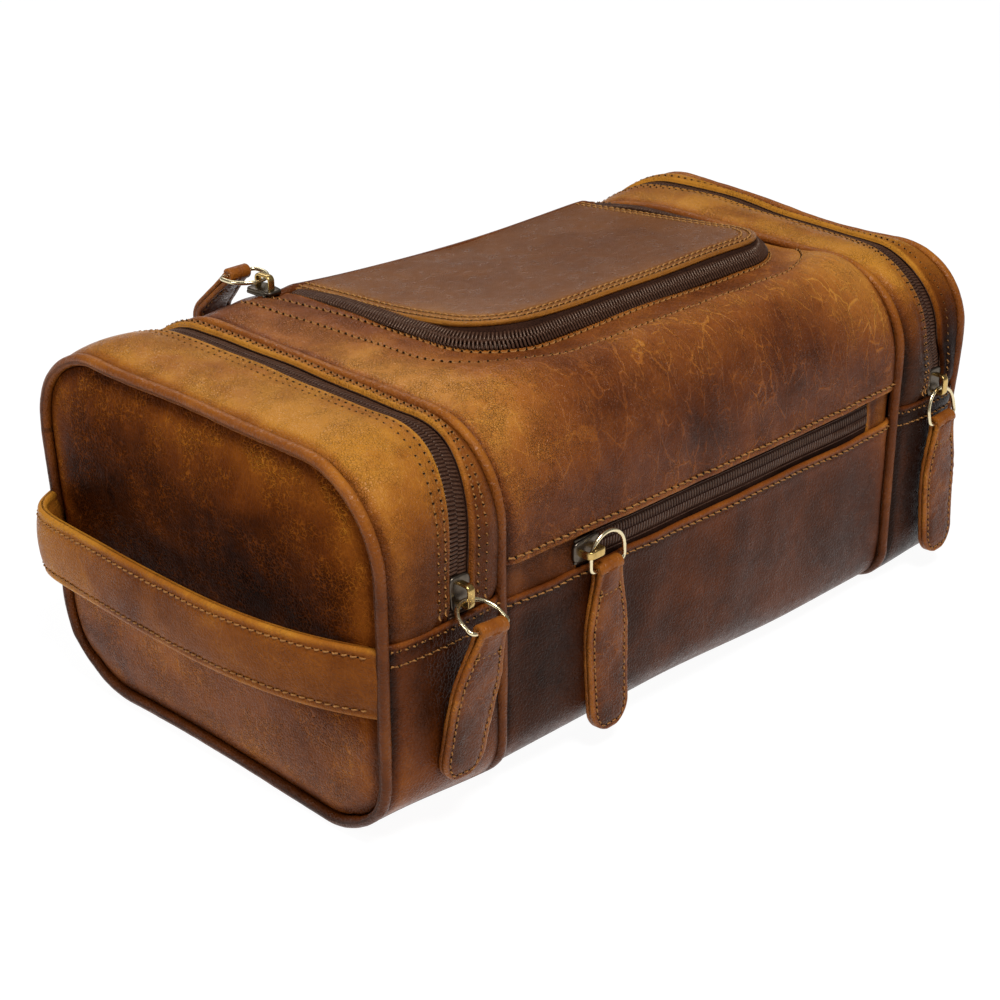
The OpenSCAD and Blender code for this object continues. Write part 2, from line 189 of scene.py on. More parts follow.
def section_samples():
    """Lengths, points and outward normals round the section, 60 to each straight run or arc."""
    straight_b, straight_t, shoulder = HALF_D - BOTTOM_R, HALF_D - TOP_R, TOP - TOP_R
    runs = (
        ((0, 0), (-straight_b, 0)),
        ((-straight_b, BOTTOM_R), BOTTOM_R, -90, -180),
        ((-HALF_D, BOTTOM_R), (-HALF_D, shoulder)),
        ((-straight_t, shoulder), TOP_R, 180, 90),
        ((-straight_t, TOP), (straight_t, TOP)),
        ((straight_t, shoulder), TOP_R, 90, 0),
        ((HALF_D, shoulder), (HALF_D, BOTTOM_R)),
        ((straight_b, BOTTOM_R), BOTTOM_R, 0, -90),
        ((straight_b, 0), (0, 0)),
    )
    points, normals = [], []
    for start, *run in runs:
        start = np.array(start, float)
        if len(run) == 1:
            way = np.array(run[0], float) - start
            d = unit(way)
            points.append(start + np.linspace(0, 1, 60, endpoint=False)[:, None] * way)
            normals.append(np.repeat([[-d[1], d[0]]], 60, axis=0))
        else:
            angle = np.radians(np.linspace(run[1], run[2], 60, endpoint=False))
            ray = np.stack([np.cos(angle), np.sin(angle)], 1)
            points.append(start + run[0] * ray)
            normals.append(ray)
    points, normals = np.concatenate(points), np.concatenate(normals)
    return lengths_along(points), points, normals


S_TABLE, S_POINTS, S_NORMALS = section_samples()


def section(s):
    """y, z and the outward normal of the section at length s."""
    s = np.clip(s, 0, S_TABLE[-1])
    return [np.interp(s, S_TABLE, column) for column in (*S_POINTS.T, *S_NORMALS.T)]


FRONT_0 = (HALF_D - BOTTOM_R) + math.pi / 2 * BOTTOM_R      # s where the front becomes upright
FRONT_1 = FRONT_0 + TOP - TOP_R - BOTTOM_R                  # and where its top arc begins
TOP_0 = FRONT_1 + math.pi / 2 * TOP_R
TOP_1 = TOP_0 + 2 * (HALF_D - TOP_R)
BACK_0 = TOP_1 + math.pi / 2 * TOP_R
WHOLE = BACK_0 + FRONT_1


def s_front(z):
    return FRONT_0 + z - BOTTOM_R


def s_back(z):
    return BACK_0 + TOP - TOP_R - z


def s_top(y):
    """Length s of a place on the top, given its y; it may lie on the top's arcs."""
    flat = HALF_D - TOP_R
    y = np.asarray(y, float)
    over = np.arcsin(np.clip((np.abs(y) - flat) / TOP_R, 0, 1)) * TOP_R
    return TOP_0 + flat + np.sign(y) * (np.minimum(np.abs(y), flat) + over)


COMPARTMENTS = ((LEFT, LEFT_IN, 2.4), (LEFT_IN, RIGHT_IN, 2.2), (RIGHT_IN, RIGHT, 2.6))


def form(x, s):
    """How far the soft leather stands off the straight section at a place on the bag.
    It dips at each piping and fills out between them, and stays low where the bag rests."""
    y, z, ny, nz = section(s)
    total = 0
    for a, b, amount in COMPARTMENTS:
        t = np.clip((x - a) / (b - a), 0, 1)
        total = total + amount * np.sqrt(np.clip(np.sin(math.pi * t), 0, 1))
    for seam in (LEFT, LEFT_IN, RIGHT_IN, RIGHT):
        total = total - 1.5 * bump(x, seam, 2.8)
    total = total + 0.5 * waves(x, s, 46, 3)
    resting = smooth((z - 1) / 22)
    return total * resting - 0.9 * (1 - resting)


def on_bag(x, s, off=0.0):
    """The point on the bag at (x, s), lifted off its soft surface."""
    x, s, off = np.broadcast_arrays(np.asarray(x, float), s, off)
    y, z, ny, nz = section(s)
    lift = off + form(x, s)
    return np.stack([x, y + ny * lift, z + nz * lift], -1)


def bag_normal(x, s):
    """The outward normal of the soft surface at (x, s)."""
    e = 0.4
    along_x = on_bag(np.asarray(x, float) + e, s) - on_bag(np.asarray(x, float) - e, s)
    along_s = on_bag(x, np.asarray(s, float) + e) - on_bag(x, np.asarray(s, float) - e)
    return unit(np.cross(along_s, along_x))


CORNERS = (21.0, 16.0)        # the settled bag's bottom roundings, at the front and at the back
RIGHT_CORNER = 14.5           # and at the front towards the right
LEFT_CORNERS = (27.0, 38.0)   # and at the left end
# Where the settled leather stands off the straight shape: middle, half-widths, and the shift there
DENTS = (
    ((150, -22, 128), (34, 44, 40), (0, 0, -4.8)),
    ((152, -60, 122), (26, 28, 30), (0, -0.6, -1.2)),
    ((114, 66, 122), (12, 24, 30), (0, -2.0, -4.2)),
    ((30, 70, 124), (70, 26, 26), (0, -0.6, -3.3)),
    ((-70, 60, 132), (26, 30, 20), (0, 0.4, 1.4)),
    ((-68, 80, 118), (14, 11, 14), (0, 0.5, 5.0)),
    ((-150, 78, 108), (20, 20, 16), (0, 0.6, 1.6)),
    ((150, -84, 30), (24, 26, 46), (-4.6, 2.2, 0)),
    ((158, 20, 30), (14, 80, 44), (-3.0, 0, 0)),
    ((-152, 10, 0), (14, 60, 22), (0, 0, 2.4)),
    ((-152, 86, 46), (24, 20, 34), (0.6, -2.8, 0)),
)


def settle(points):
    """The bag as it has settled in use: softer bottom corners, and a few dents."""
    points = points.copy()
    left = smooth((LEFT_IN + 8 - points[:, 0]) / 50)
    for side, plain, slack in zip((-1, 1), CORNERS, LEFT_CORNERS):
        r = plain + (slack - plain) * left
        if side < 0:
            r = r + (RIGHT_CORNER - plain) * smooth((points[:, 0] + 20) / 80)
        dy, dz = side * points[:, 1] - (HALF_D - r), r - points[:, 2]
        inside = (dy > 0) & (dz > 0)
        away = np.hypot(dy, dz) + 1e-9
        a, b = np.maximum(dy, dz) / away, np.minimum(dy, dz) / away
        k = r - BOTTOM_R                     # the straight sides reach as far as the old rounding began
        flat = r / np.maximum(a, 1e-6)
        turn = k * (a + b) + np.sqrt(np.maximum(BOTTOM_R ** 2 - k ** 2 * (a - b) ** 2, 0))
        reach = np.where(flat * b <= k, flat, turn)
        scale = np.where(inside, r / np.maximum(reach, 1e-6), 1)
        points[:, 1] = np.where(inside, side * (HALF_D - r + dy * scale), points[:, 1])
        points[:, 2] = np.where(inside, r - dz * scale, points[:, 2])
    moved = np.zeros_like(points)
    for middle, size, shift in DENTS:
        near = np.exp(-(((points - middle) / size) ** 2).sum(1))
        moved += near[:, None] * np.array(shift)
    return points + moved


# ---------- meshes ----------


class Build:
    """Gathers vertices, faces and their looks, in millimetres, into one mesh."""

    def __init__(self):
        self.points, self.faces, self.rest, self.looks, self.count = [], [], [], [], 0

    def add(self, points, faces, rest=None, looks=(0, 0, 0)):
        points = np.asarray(points, float).reshape(-1, 3)
        rest = points / 10 if rest is None else np.asarray(rest, float).reshape(-1, 3)
        looks = np.broadcast_to(np.asarray(looks, float).reshape(-1, 3), (len(points), 3))
        self.points.append(points)
        self.rest.append(rest)
        self.looks.append(looks)
        self.faces.extend([[i + self.count for i in f] for f in faces])
        self.count += len(points)
        return self

    def sheet(self, outer, inner, rest, looks=(0, 0, 0), wrap=False, met=False, flip=False):
        """A closed sheet between two grids of points that meet the same way; wrap closes its rows.
        With met, the points of the last column lie on a middle line, and are joined there."""
        looks = np.broadcast_to(looks, outer.shape)
        if flip:
            outer, inner, rest, looks = (v[::-1] for v in (outer, inner, rest, looks))
        rows, columns = outer.shape[:2]
        total = rows * columns
        faces = grid_faces(rows, columns, 0, wrap_rows=wrap)
        faces += grid_faces(rows, columns, total, wrap_rows=wrap, flip=True)
        rim = []
        if not wrap:
            rim += [[j, j + 1] for j in range(columns - 1)]
            rim += [[(rows - 1) * columns + j + 1, (rows - 1) * columns + j] for j in range(columns - 1)]
        for i in range(rows if wrap else rows - 1):
            k = (i + 1) % rows
            rim.append([k * columns, i * columns])
            if not met:
                rim.append([i * columns + columns - 1, k * columns + columns - 1])
        faces += [[a, b, b + total, a + total] for a, b in rim]
        points = np.concatenate([outer.reshape(-1, 3), inner.reshape(-1, 3)])
        rest, looks = rest.reshape(-1, 3), looks.reshape(-1, 3)
        rest, looks = np.concatenate([rest, rest + [0, 0, 0.2]]), np.concatenate([looks, looks])
        if met:
            points, faces, rest, looks = join_middle(points, faces, rest, looks, rows, columns)
        return self.add(points, faces, rest, looks)

    def cut_sheet(self, outer, inner, rest, hole):
        """A closed sheet over a grid, without the cells that touch the hole."""
        rows, columns = hole.shape
        total = rows * columns
        use = ~(hole[:-1, :-1] | hole[1:, :-1] | hole[:-1, 1:] | hole[1:, 1:])
        faces, edges = [], {}
        for i, j in zip(*np.nonzero(use)):
            quad = [i * columns + j, (i + 1) * columns + j, (i + 1) * columns + j + 1, i * columns + j + 1]
            faces += [quad, [k + total for k in reversed(quad)]]
            for a, b in zip(quad, quad[1:] + quad[:1]):
                if (b, a) in edges:
                    del edges[(b, a)]
                else:
                    edges[(a, b)] = True
        faces += [[b, a, a + total, b + total] for a, b in edges]
        points = np.concatenate([outer.reshape(-1, 3), inner.reshape(-1, 3)])
        rests = np.concatenate([rest.reshape(-1, 3)] * 2)
        return self.add(*only_used(faces, points, rests))

    def tube(self, path, radius, sides=10, closed=False, up=None, looks=(0, 0, 0)):
        """A round tube along a path, closed on itself or with domed ends."""
        path = np.asarray(path, float)
        tangent = unit(np.roll(path, -1, 0) - np.roll(path, 1, 0) if closed else np.gradient(path, axis=0))
        if up is None:
            up = np.array([0.13, 0.27, 0.95]) if abs(tangent[:, 2]).mean() < 0.8 else np.array([1.0, 0.2, 0.1])
        side = unit(np.cross(tangent, up))
        lift = unit(np.cross(side, tangent))
        radius = np.broadcast_to(radius, len(path)).astype(float)
        if not closed:
            path = np.concatenate([path[:1] - tangent[:1] * radius[0] * 0.6, path[:1], path[1:-1],
                                   path[-1:], path[-1:] + tangent[-1:] * radius[-1] * 0.6])
            side, lift = (np.concatenate([v[:1], v, v[-1:]]) for v in (side, lift))
            radius = np.concatenate([[radius[0] * 0.55], radius, [radius[-1] * 0.55]])
        angle = np.linspace(0, 2 * math.pi, sides, endpoint=False)
        ring = np.cos(angle)[None, :, None] * side[:, None] + np.sin(angle)[None, :, None] * lift[:, None]
        points = path[:, None] + ring * radius[:, None, None]
        if closed:
            faces = grid_faces(len(path), sides, 0, wrap_rows=True, wrap_columns=True, flip=True)
        else:
            faces = tube_faces(len(path), sides)
        rest = flat_rest(lengths_along(path)[:, None], angle[None] * radius[:, None])
        return self.add(points, faces, rest, looks)

    def piece(self, name, material, body=None, slot=None, replaces=(), blend=None, soft=True):
        mesh = bpy.data.meshes.new(name)
        points = np.concatenate(self.points)
        points = (settle(points) if soft else points) * MM
        mesh.from_pydata(points.tolist(), [], self.faces)
        for attribute, values in (("rest", self.rest), ("looks", self.looks)):
            made = mesh.attributes.new(attribute, "FLOAT_VECTOR", "POINT")
            made.data.foreach_set("vector", np.concatenate(values).astype(np.float32).ravel())
        mesh.polygons.foreach_set("use_smooth", np.ones(len(mesh.polygons), bool))
        mesh.materials.append(material)
        mesh.validate()
        mesh.update()
        made = bpy.data.objects.new(name, mesh)
        bpy.context.scene.collection.objects.link(made)
        if blend:
            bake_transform(made)
        else:
            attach(made, body)
        if replaces:
            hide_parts(*replaces)
        return made


def grid_faces(rows, columns, first=0, wrap_rows=False, wrap_columns=False, flip=False):
    faces = []
    for i in range(rows if wrap_rows else rows - 1):
        for j in range(columns if wrap_columns else columns - 1):
            a = first + i * columns + j
            b = first + i * columns + (j + 1) % columns
            c = first + (i + 1) % rows * columns + (j + 1) % columns
            d = first + (i + 1) % rows * columns + j
            faces.append([a, b, c, d] if flip else [a, d, c, b])
    return faces


def tube_faces(rows, sides, flip=True):
    """Faces of a tube whose two end rings are closed."""
    faces = grid_faces(rows, sides, 0, wrap_columns=True, flip=flip)
    return faces + [list(range(sides)), [(rows - 1) * sides + j for j in reversed(range(sides))]]


def middle_of(values, low, high, step=3.0):
    """Values drawn in to a middle line, at places that both sides of it share."""
    count = max(int((high - low) // step), 1)
    share = np.round((np.clip(values, low, high) - low) / (high - low) * count) / count
    return low + share * (high - low)


def only_used(faces, *arrays):
    """The arrays without the points that no face uses, and the faces numbered to suit."""
    used = np.unique(np.concatenate([np.array(f) for f in faces]))
    new = np.full(len(arrays[0]), -1)
    new[used] = np.arange(len(used))
    return [arrays[0][used], [[int(new[k]) for k in f] for f in faces], *(a[used] for a in arrays[1:])]


def join_middle(points, faces, rest, looks, rows, columns):
    """Makes one point of those in the last column that lie in the same place."""
    same = np.arange(len(points))
    for first in (0, rows * columns):
        met = {}
        for k in first + np.arange(rows) * columns + columns - 1:
            same[k] = met.setdefault(tuple(np.round(points[k], 1)), k)
    joined = []
    for face in faces:
        ids = [int(same[k]) for k in face]
        ids = [a for a, b in zip(ids, ids[1:] + ids[:1]) if a != b]
        if len(set(ids)) == len(ids) > 2:
            joined.append(ids)
    return only_used(joined, points, rest, looks)


def rounded_outline(half, low, top, r_top, r_low, count):
    """Points y, z round a rectangle with rounded corners, from its upper rear corner on."""
    turn = np.radians(np.linspace(0, 90, count))
    corners = []
    for k, (y, z, r) in enumerate(((half - r_top, top - r_top, r_top), (r_top - half, top - r_top, r_top),
                                   (r_low - half, low + r_low, r_low), (half - r_low, low + r_low, r_low))):
        a = turn + math.radians(90 * k)
        corners.append(np.stack([y + r * np.cos(a), z + r * np.sin(a)], 1))
    return np.concatenate(corners + [corners[0][:1]])


# ---------- materials ----------


class Nodes:
    """Short calls that add shader nodes and join them up."""

    def __init__(self, name):
        self.material = bpy.data.materials.new(name)
        self.material.use_nodes = True
        self.tree = self.material.node_tree
        self.shader = self.tree.nodes["Principled BSDF"]
        self.rest = self.attribute("rest")
        self.wear, self.vein, self.grain = self.add("SeparateXYZ", self.attribute("looks")).outputs

    def attribute(self, name):
        node = self.add("Attribute")
        node.attribute_name = name
        return node.outputs["Vector"]

    def join(self, value, socket):
        if isinstance(value, bpy.types.NodeSocket):
            self.tree.links.new(value, socket)
        elif socket.type == "RGBA" and len(value) == 3:
            socket.default_value = (*value, 1)
        else:
            socket.default_value = value

    def add(self, kind, *inputs, **named):
        """A new node, with sockets or values joined to its inputs by place and by name."""
        node = self.tree.nodes.new("ShaderNode" + kind)
        for key, value in (*enumerate(inputs), *named.items()):
            self.join(value, node.inputs[key])
        return node

    def math(self, kind, *values):
        node = self.add("Math", *values)
        node.operation = kind
        return node.outputs[0]

    def times(self, a, b):
        return self.math("MULTIPLY", a, b)

    def plus(self, a, b, share=None):
        return self.math("ADD", a, b if share is None else self.times(b, share))

    def stretch(self, scale, at=None):
        return self.add("Mapping", Vector=at or self.rest, Scale=scale).outputs[0]

    def turn(self, at, angle):
        """Texture coordinates turned in the plane of the leather."""
        return self.add("Mapping", Vector=at, Rotation=(0, 0, angle)).outputs[0]

    def noise(self, scale, detail=3.0, at=None, rough=0.5, twist=0.0):
        return self.add("TexNoise", Vector=at or self.rest, Scale=scale, Detail=detail, Roughness=rough,
                        Distortion=twist).outputs["Fac"]

    def bend(self, at, scale, amount):
        """Moves texture coordinates about by a noise."""
        noise = self.add("TexNoise", Vector=at, Scale=scale, Detail=2)
        shift = self.tree.nodes.new("ShaderNodeVectorMath")
        shift.operation = "MULTIPLY_ADD"
        for socket, value in zip(shift.inputs, (noise.outputs["Color"], (amount, amount, amount), at)):
            self.join(value, socket)
        return shift.outputs[0]

    def cells(self, scale, feature="DISTANCE_TO_EDGE", at=None):
        node = self.add("TexVoronoi", Vector=at or self.rest, Scale=scale)
        node.feature = feature
        return node.outputs["Distance"]

    def span(self, value, low, high, to_low=0.0, to_high=1.0):
        node = self.add("MapRange", value, low, high, to_low, to_high)
        node.interpolation_type = "SMOOTHSTEP"
        return node.outputs["Result"]

    def ramp(self, value, colours):
        """Colours evenly spaced from 0 to 1."""
        node = self.add("ValToRGB", value)
        elements = node.color_ramp.elements
        while len(elements) < len(colours):
            elements.new(0.5)
        for k, (element, colour) in enumerate(zip(elements, colours)):
            element.position = k / (len(colours) - 1)
            element.color = (*colour, 1)
        return node.outputs[0]

    def mix(self, amount, a, b, kind="MIX"):
        node = self.tree.nodes.new("ShaderNodeMix")
        node.data_type = "RGBA"
        node.blend_type = kind
        for place, value in ((0, amount), (6, a), (7, b)):
            self.join(value, node.inputs[place])
        return node.outputs[2]

    def bumps(self, height, distance, strength=1.0, below=None):
        node = self.add("Bump", Height=height, Distance=distance * MM, Strength=strength)
        if below is not None:
            self.join(below, node.inputs["Normal"])
        return node.outputs[0]

    def finish(self, colour, roughness, normal, **others):
        named = {"Base_Color": colour, "Roughness": roughness, "Normal": normal, **others}
        for name, value in named.items():
            self.join(value, self.shader.inputs[name.replace("_", " ")])
        return self.material


def leather(name, mottling=1.0, tint=(1, 1, 1), gloss=0.20, pebbles=(7.0, 0.13, 0.17)):
    """Oiled pull-up leather: dark where it is full and lighter where it is stretched or rubbed.
    The looks attribute gives wear together with painted light and shade, fine creases and pebbled grain, each 0 to
    1.
    Pebbles are their size, the width of the gaps between them, and how much lighter the gaps are.
    A pair for gloss is for no grain and for full grain."""
    n = Nodes(name)
    tone = n.wear
    cloud = n.noise(0.32, 3.0, twist=0.6)
    patch = n.noise(1.1, 5.0, rough=0.6, twist=0.4)
    fine = n.noise(7.0, 4.0, rough=0.65)
    for pattern, amount in ((cloud, 0.60 * mottling), (patch, 0.30 * mottling), (fine, 0.17)):
        tone = n.plus(tone, n.math("SUBTRACT", pattern, 0.5), amount)

    drawn = n.bend(n.bend(n.rest, 0.35, 1.0), 3.0, 0.13)
    veins = 0.0
    for angle, scale, width, strength, rare in (
        (0.12, 1.4, 0.030, 1.0, 0.36), (0.42, 1.9, 0.036, 0.90, 0.44), (-0.38, 2.4, 0.044, 0.80, 0.48),
    ):
        edge = n.cells(scale, at=n.stretch((1.0, 0.30, 1.0), n.turn(drawn, angle)))
        line = n.span(edge, 0.0, width, strength, 0)
        shown = n.span(n.noise(scale * 0.45, 2.0, at=n.turn(n.rest, angle + 1.0)), rare, rare + 0.16)
        veins = n.math("MAXIMUM", veins, n.times(line, shown))
    cracks = n.span(n.cells(3.6, at=n.stretch((1.0, 0.55, 1.0), drawn)), 0.0, 0.05, 0.8, 0)
    cracks = n.times(cracks, n.span(n.noise(0.8, 3.0), 0.48, 0.62))
    veins = n.times(n.math("MAXIMUM", veins, cracks), n.vein)
    tone = n.plus(tone, veins, 0.25)

    size, gap, light = pebbles
    pebble = n.cells(size, at=n.bend(n.rest, 5.0, 0.12))
    where = n.span(n.noise(0.9, 3.0), 0.38, 0.62, 0.1, 1.0)
    pebbled = n.times(n.times(n.span(pebble, 0.0, gap, 1, 0), n.grain), where)
    tone = n.plus(tone, pebbled, light)

    colour = n.ramp(tone, (
        (0.0120, 0.0028, 0.0008), (0.0480, 0.0110, 0.0016), (0.1130, 0.0275, 0.0042),
        (0.2080, 0.0585, 0.0080), (0.3380, 0.1120, 0.0135), (0.4850, 0.1960, 0.0230),
    ))
    colour = n.mix(1.0, colour, tint, "MULTIPLY")
    rough = n.plus(n.span(n.noise(2.6, 4.0), 0.3, 0.7, 0.25, 0.39), pebbled, 0.12)

    skin = n.bumps(n.noise(24.0, 2.0), 0.08, 0.8)
    skin = n.bumps(n.span(pebble, 0.0, 0.25), 0.16, 0.6, skin)
    skin = n.bumps(n.times(pebbled, -1.0), 0.30, 1.0, skin)
    skin = n.bumps(n.times(veins, -1.0), 0.20, 1.0, skin)
    skin = n.bumps(patch, 0.5, 0.35, skin)
    level = gloss if isinstance(gloss, float) else n.span(n.grain, 0.65, 0.95, *gloss)
    return n.finish(colour, rough, skin, Specular_IOR_Level=level, Specular_Tint=(1.0, 0.82, 0.68, 1.0))


def woven(name, colour, dark, scale, roughness=0.8):
    """A plain weave, from crossed cells along the rest coordinates."""
    n = Nodes(name)
    warp = n.cells(scale, "F1", n.stretch((1.0, 0.5, 1.0)))
    weft = n.cells(scale, "F1", n.stretch((0.5, 1.0, 1.0)))
    weave = n.times(warp, weft)
    shade = n.mix(n.span(weave, 0.0, 0.3), dark, colour)
    shade = n.mix(n.span(n.noise(0.6, 3.0), 0.35, 0.65, 0.0, 0.35), shade, dark)
    return n.finish(shade, roughness, n.bumps(weave, 0.15, 0.8), Specular_IOR_Level=0.08)


def metal(name, colour, dark, roughness, tarnish=0.5):
    """Plated metal with tarnish in patches and small scratches."""
    n = Nodes(name)
    patch = n.noise(5.0, 4.0, rough=0.6)
    fine = n.noise(30.0, 3.0, at=n.stretch((1.0, 0.2, 1.0)))
    shade = n.mix(n.span(patch, 0.4, 0.75, 0.0, tarnish), colour, dark)
    rough = n.plus(n.span(fine, 0.3, 0.7, -0.06, 0.08), roughness)
    return n.finish(shade, rough, n.bumps(fine, 0.03, 0.5), Metallic=1.0)


def plastic(name, colour, light, roughness):
    """Polyester monofilament or thread, with light fibres."""
    n = Nodes(name)
    fibre = n.noise(40.0, 2.0, at=n.stretch((0.25, 1.0, 1.0)))
    patch = n.noise(1.5, 3.0)
    shade = n.mix(n.span(fibre, 0.4, 0.7), colour, light)
    shade = n.mix(n.span(patch, 0.35, 0.7, 0.0, 0.5), shade, colour)
    return n.finish(shade, roughness, n.bumps(fibre, 0.06, 0.6), Specular_IOR_Level=0.28,
                    Specular_Tint=(1.0, 0.80, 0.62, 1.0))


TAN = leather("tan_leather", gloss=0.13, pebbles=(11.0, 0.16, 0.13))
# Its bluish tint is a painted sheen: it stands in for the soft grey reflection on the main panel.
MAIN_LEATHER = leather("main_leather", 1.0, (1.0, 0.97, 1.25), 0.16, (11.0, 0.16, 0.13))
SHADED = leather("shaded_leather", gloss=0.02, pebbles=(11.0, 0.16, 0.13))
BROWN = leather("brown_leather", 0.7, (1.0, 0.94, 1.0), 0.11)
END_LEATHER = leather("end_leather", 1.0, (1.0, 0.93, 0.72), (0.14, 0.01), (7.4, 0.21, 0.30))
LID_LEATHER = leather("lid_leather", 0.45, (0.95, 1.08, 1.1), 0.20, (13.0, 0.10, 0.10))
HANDLE_LEATHER = leather("handle_leather", 1.0, (1.0, 1.0, 0.9), 0.08)
PIPING = leather("piping_leather", 0.8, (1.0, 0.97, 0.92))
TAB = leather("tab_leather", 0.9, (1.0, 0.95, 0.95))
# Near black: painted shade standing for the inside of the needle holes.
HOLE_SHADE = plastic("needle_hole", (0.006, 0.003, 0.002), (0.012, 0.006, 0.004), 0.9)
THREAD = plastic("brown_thread", (0.26, 0.105, 0.026), (0.50, 0.24, 0.07), 0.55)
GOLD_THREAD = plastic("gold_thread", (0.33, 0.150, 0.040), (0.52, 0.27, 0.08), 0.5)
TAPE = woven("zip_tape", (0.042, 0.0165, 0.0090), (0.012, 0.0045, 0.0030), 26.0, 0.9)
COIL = plastic("zip_coil", (0.050, 0.0215, 0.0125), (0.125, 0.062, 0.038), 0.28)
LINING = woven("lining_cloth", (0.30, 0.19, 0.10), (0.14, 0.08, 0.04), 17.0)
BOARD = woven("base_board", (0.20, 0.17, 0.14), (0.10, 0.09, 0.08), 9.0)
BRONZE = metal("dark_bronze", (0.13, 0.105, 0.080), (0.045, 0.035, 0.028), 0.34)
BRASS = metal("antique_brass", (0.62, 0.42, 0.15), (0.28, 0.17, 0.05), 0.27)
PALE_GOLD = metal("pale_gold", (0.84, 0.72, 0.46), (0.50, 0.37, 0.17), 0.22, 0.3)


# ---------- colour of the leather over the bag ----------

# Places that are darker or lighter than their panel: x, s, half-widths along x and s, and how much
PATCHES = (
    (-86, TOP_0 - 10, 15, 28, 0.32), (-90, TOP_0 + 34, 12, 44, 0.32), (-128, FRONT_1 + 34, 12, 30, 0.06),
    (-140, TOP_0 + 20, 12, 60, 0.08), (-88, FRONT_1 + 14, 12, 14, 0.04), (-70, FRONT_0 + 66, 22, 12, 0.02),
    (98, FRONT_1 + 34, 18, 22, 0.42), (100, TOP_0 + 44, 12, 40, 0.24), (64, FRONT_1 + 38, 26, 12, 0.10), (10, FRONT_1 + 36, 40, 12, 0.06),
    (-44, FRONT_1 + 26, 34, 10, -0.08), (20, FRONT_1 + 10, 40, 12, -0.05), (102, FRONT_0 + 56, 9, 26, 0.16),
    (-78, FRONT_0 + 36, 12, 18, -0.06), (-76, TOP_0 + 38, 15, 22, 0.16), (-70, FRONT_0 - 2, 26, 14, 0.10), (-20, FRONT_0 + 34, 22, 26, 0.03),
    (40, FRONT_0 + 20, 50, 30, 0.03), (-66, FRONT_1 + 22, 10, 22, 0.12), (20, FRONT_0 + 72, 70, 10, 0.05),
    (-112, FRONT_0 + 40, 10, 16, -0.10), (-144, FRONT_0 + 34, 7, 40, 0.14), (-118, FRONT_0 - 6, 40, 14, 0.16),
    (140, FRONT_1 - 6, 10, 22, -0.24), (116, FRONT_1 + 30, 8, 30, 0.06),
    (-20, BACK_0 + 30, 70, 22, -0.08), (70, BACK_0 + 10, 40, 22, 0.08), (-80, BACK_0 + 60, 30, 22, 0.06),
)


def bag_wear(x, s, base):
    """Tone of the leather at (x, s): the panel's own tone and its patches, lighter beside the seams, and painted
    shade darkening the groove at each seam.
    """
    wear = base + 0 * x
    for px, ps, rx, rs, amount in PATCHES:
        wear = wear + amount * np.exp(-((x - px) / rx) ** 2 - ((s - ps) / rs) ** 2)
    nearest = np.min([np.abs(x - seam) for seam in (LEFT, LEFT_IN, RIGHT_IN, RIGHT)], axis=0)
    return wear + 0.07 * bump(nearest, 6, 3.5) - 0.28 * bump(nearest, 1.8, 2.0)


def bag_panel(xs, ss, tone, rows=(), round_x=(False, False), round_s=(False, False), lift=0.0, vein=0.3,
              grain=0.2, swell=None, build=None):
    """A leather panel between two places along x and two along s, with stitch rows pressed into it
    at the lengths s given. A rounded side is a turned edge."""
    x, s = np.meshgrid(stations(*xs, 1.15, *round_x), stations(*ss, 1.15, *round_s), indexing="ij")
    edge = np.full(x.shape, 99.0)
    for flags, value, ends in ((round_x, x, xs), (round_s, s, ss)):
        for flag, end in zip(flags, ends):
            if flag:
                edge = np.minimum(edge, np.abs(value - end))
    drop = edge_drop(edge)
    press = sum(0.45 * bump(s, row, ROW_W) for row in rows)
    proud = lift - press + (0 if swell is None else swell(x, s))
    wear = bag_wear(x, s, tone(x, s) if callable(tone) else tone)
    wear = wear + 0.30 * bump(edge, 0.4, 1.3) - 0.10 * bump(edge, 3.2, 1.6)
    outer, inner = on_bag(x, s, proud - drop), on_bag(x, s, proud - LEATHER + drop)
    return (build or Build()).sheet(outer, inner, flat_rest(x, s), stacked(wear, vein, grain))


def floor_panel(name, x, y, z, layer, replaces=()):
    """A leather bottom, lying just above what the bag stands on."""
    outer = stacked(x, y, z)
    Build().sheet(outer, outer + [0, 0, LEATHER], flat_rest(x, y, layer), (0.25, 0.3, 0.3)).piece(
        name, BROWN, "bag", "brown_leather", replaces)


# ---------- stitching ----------


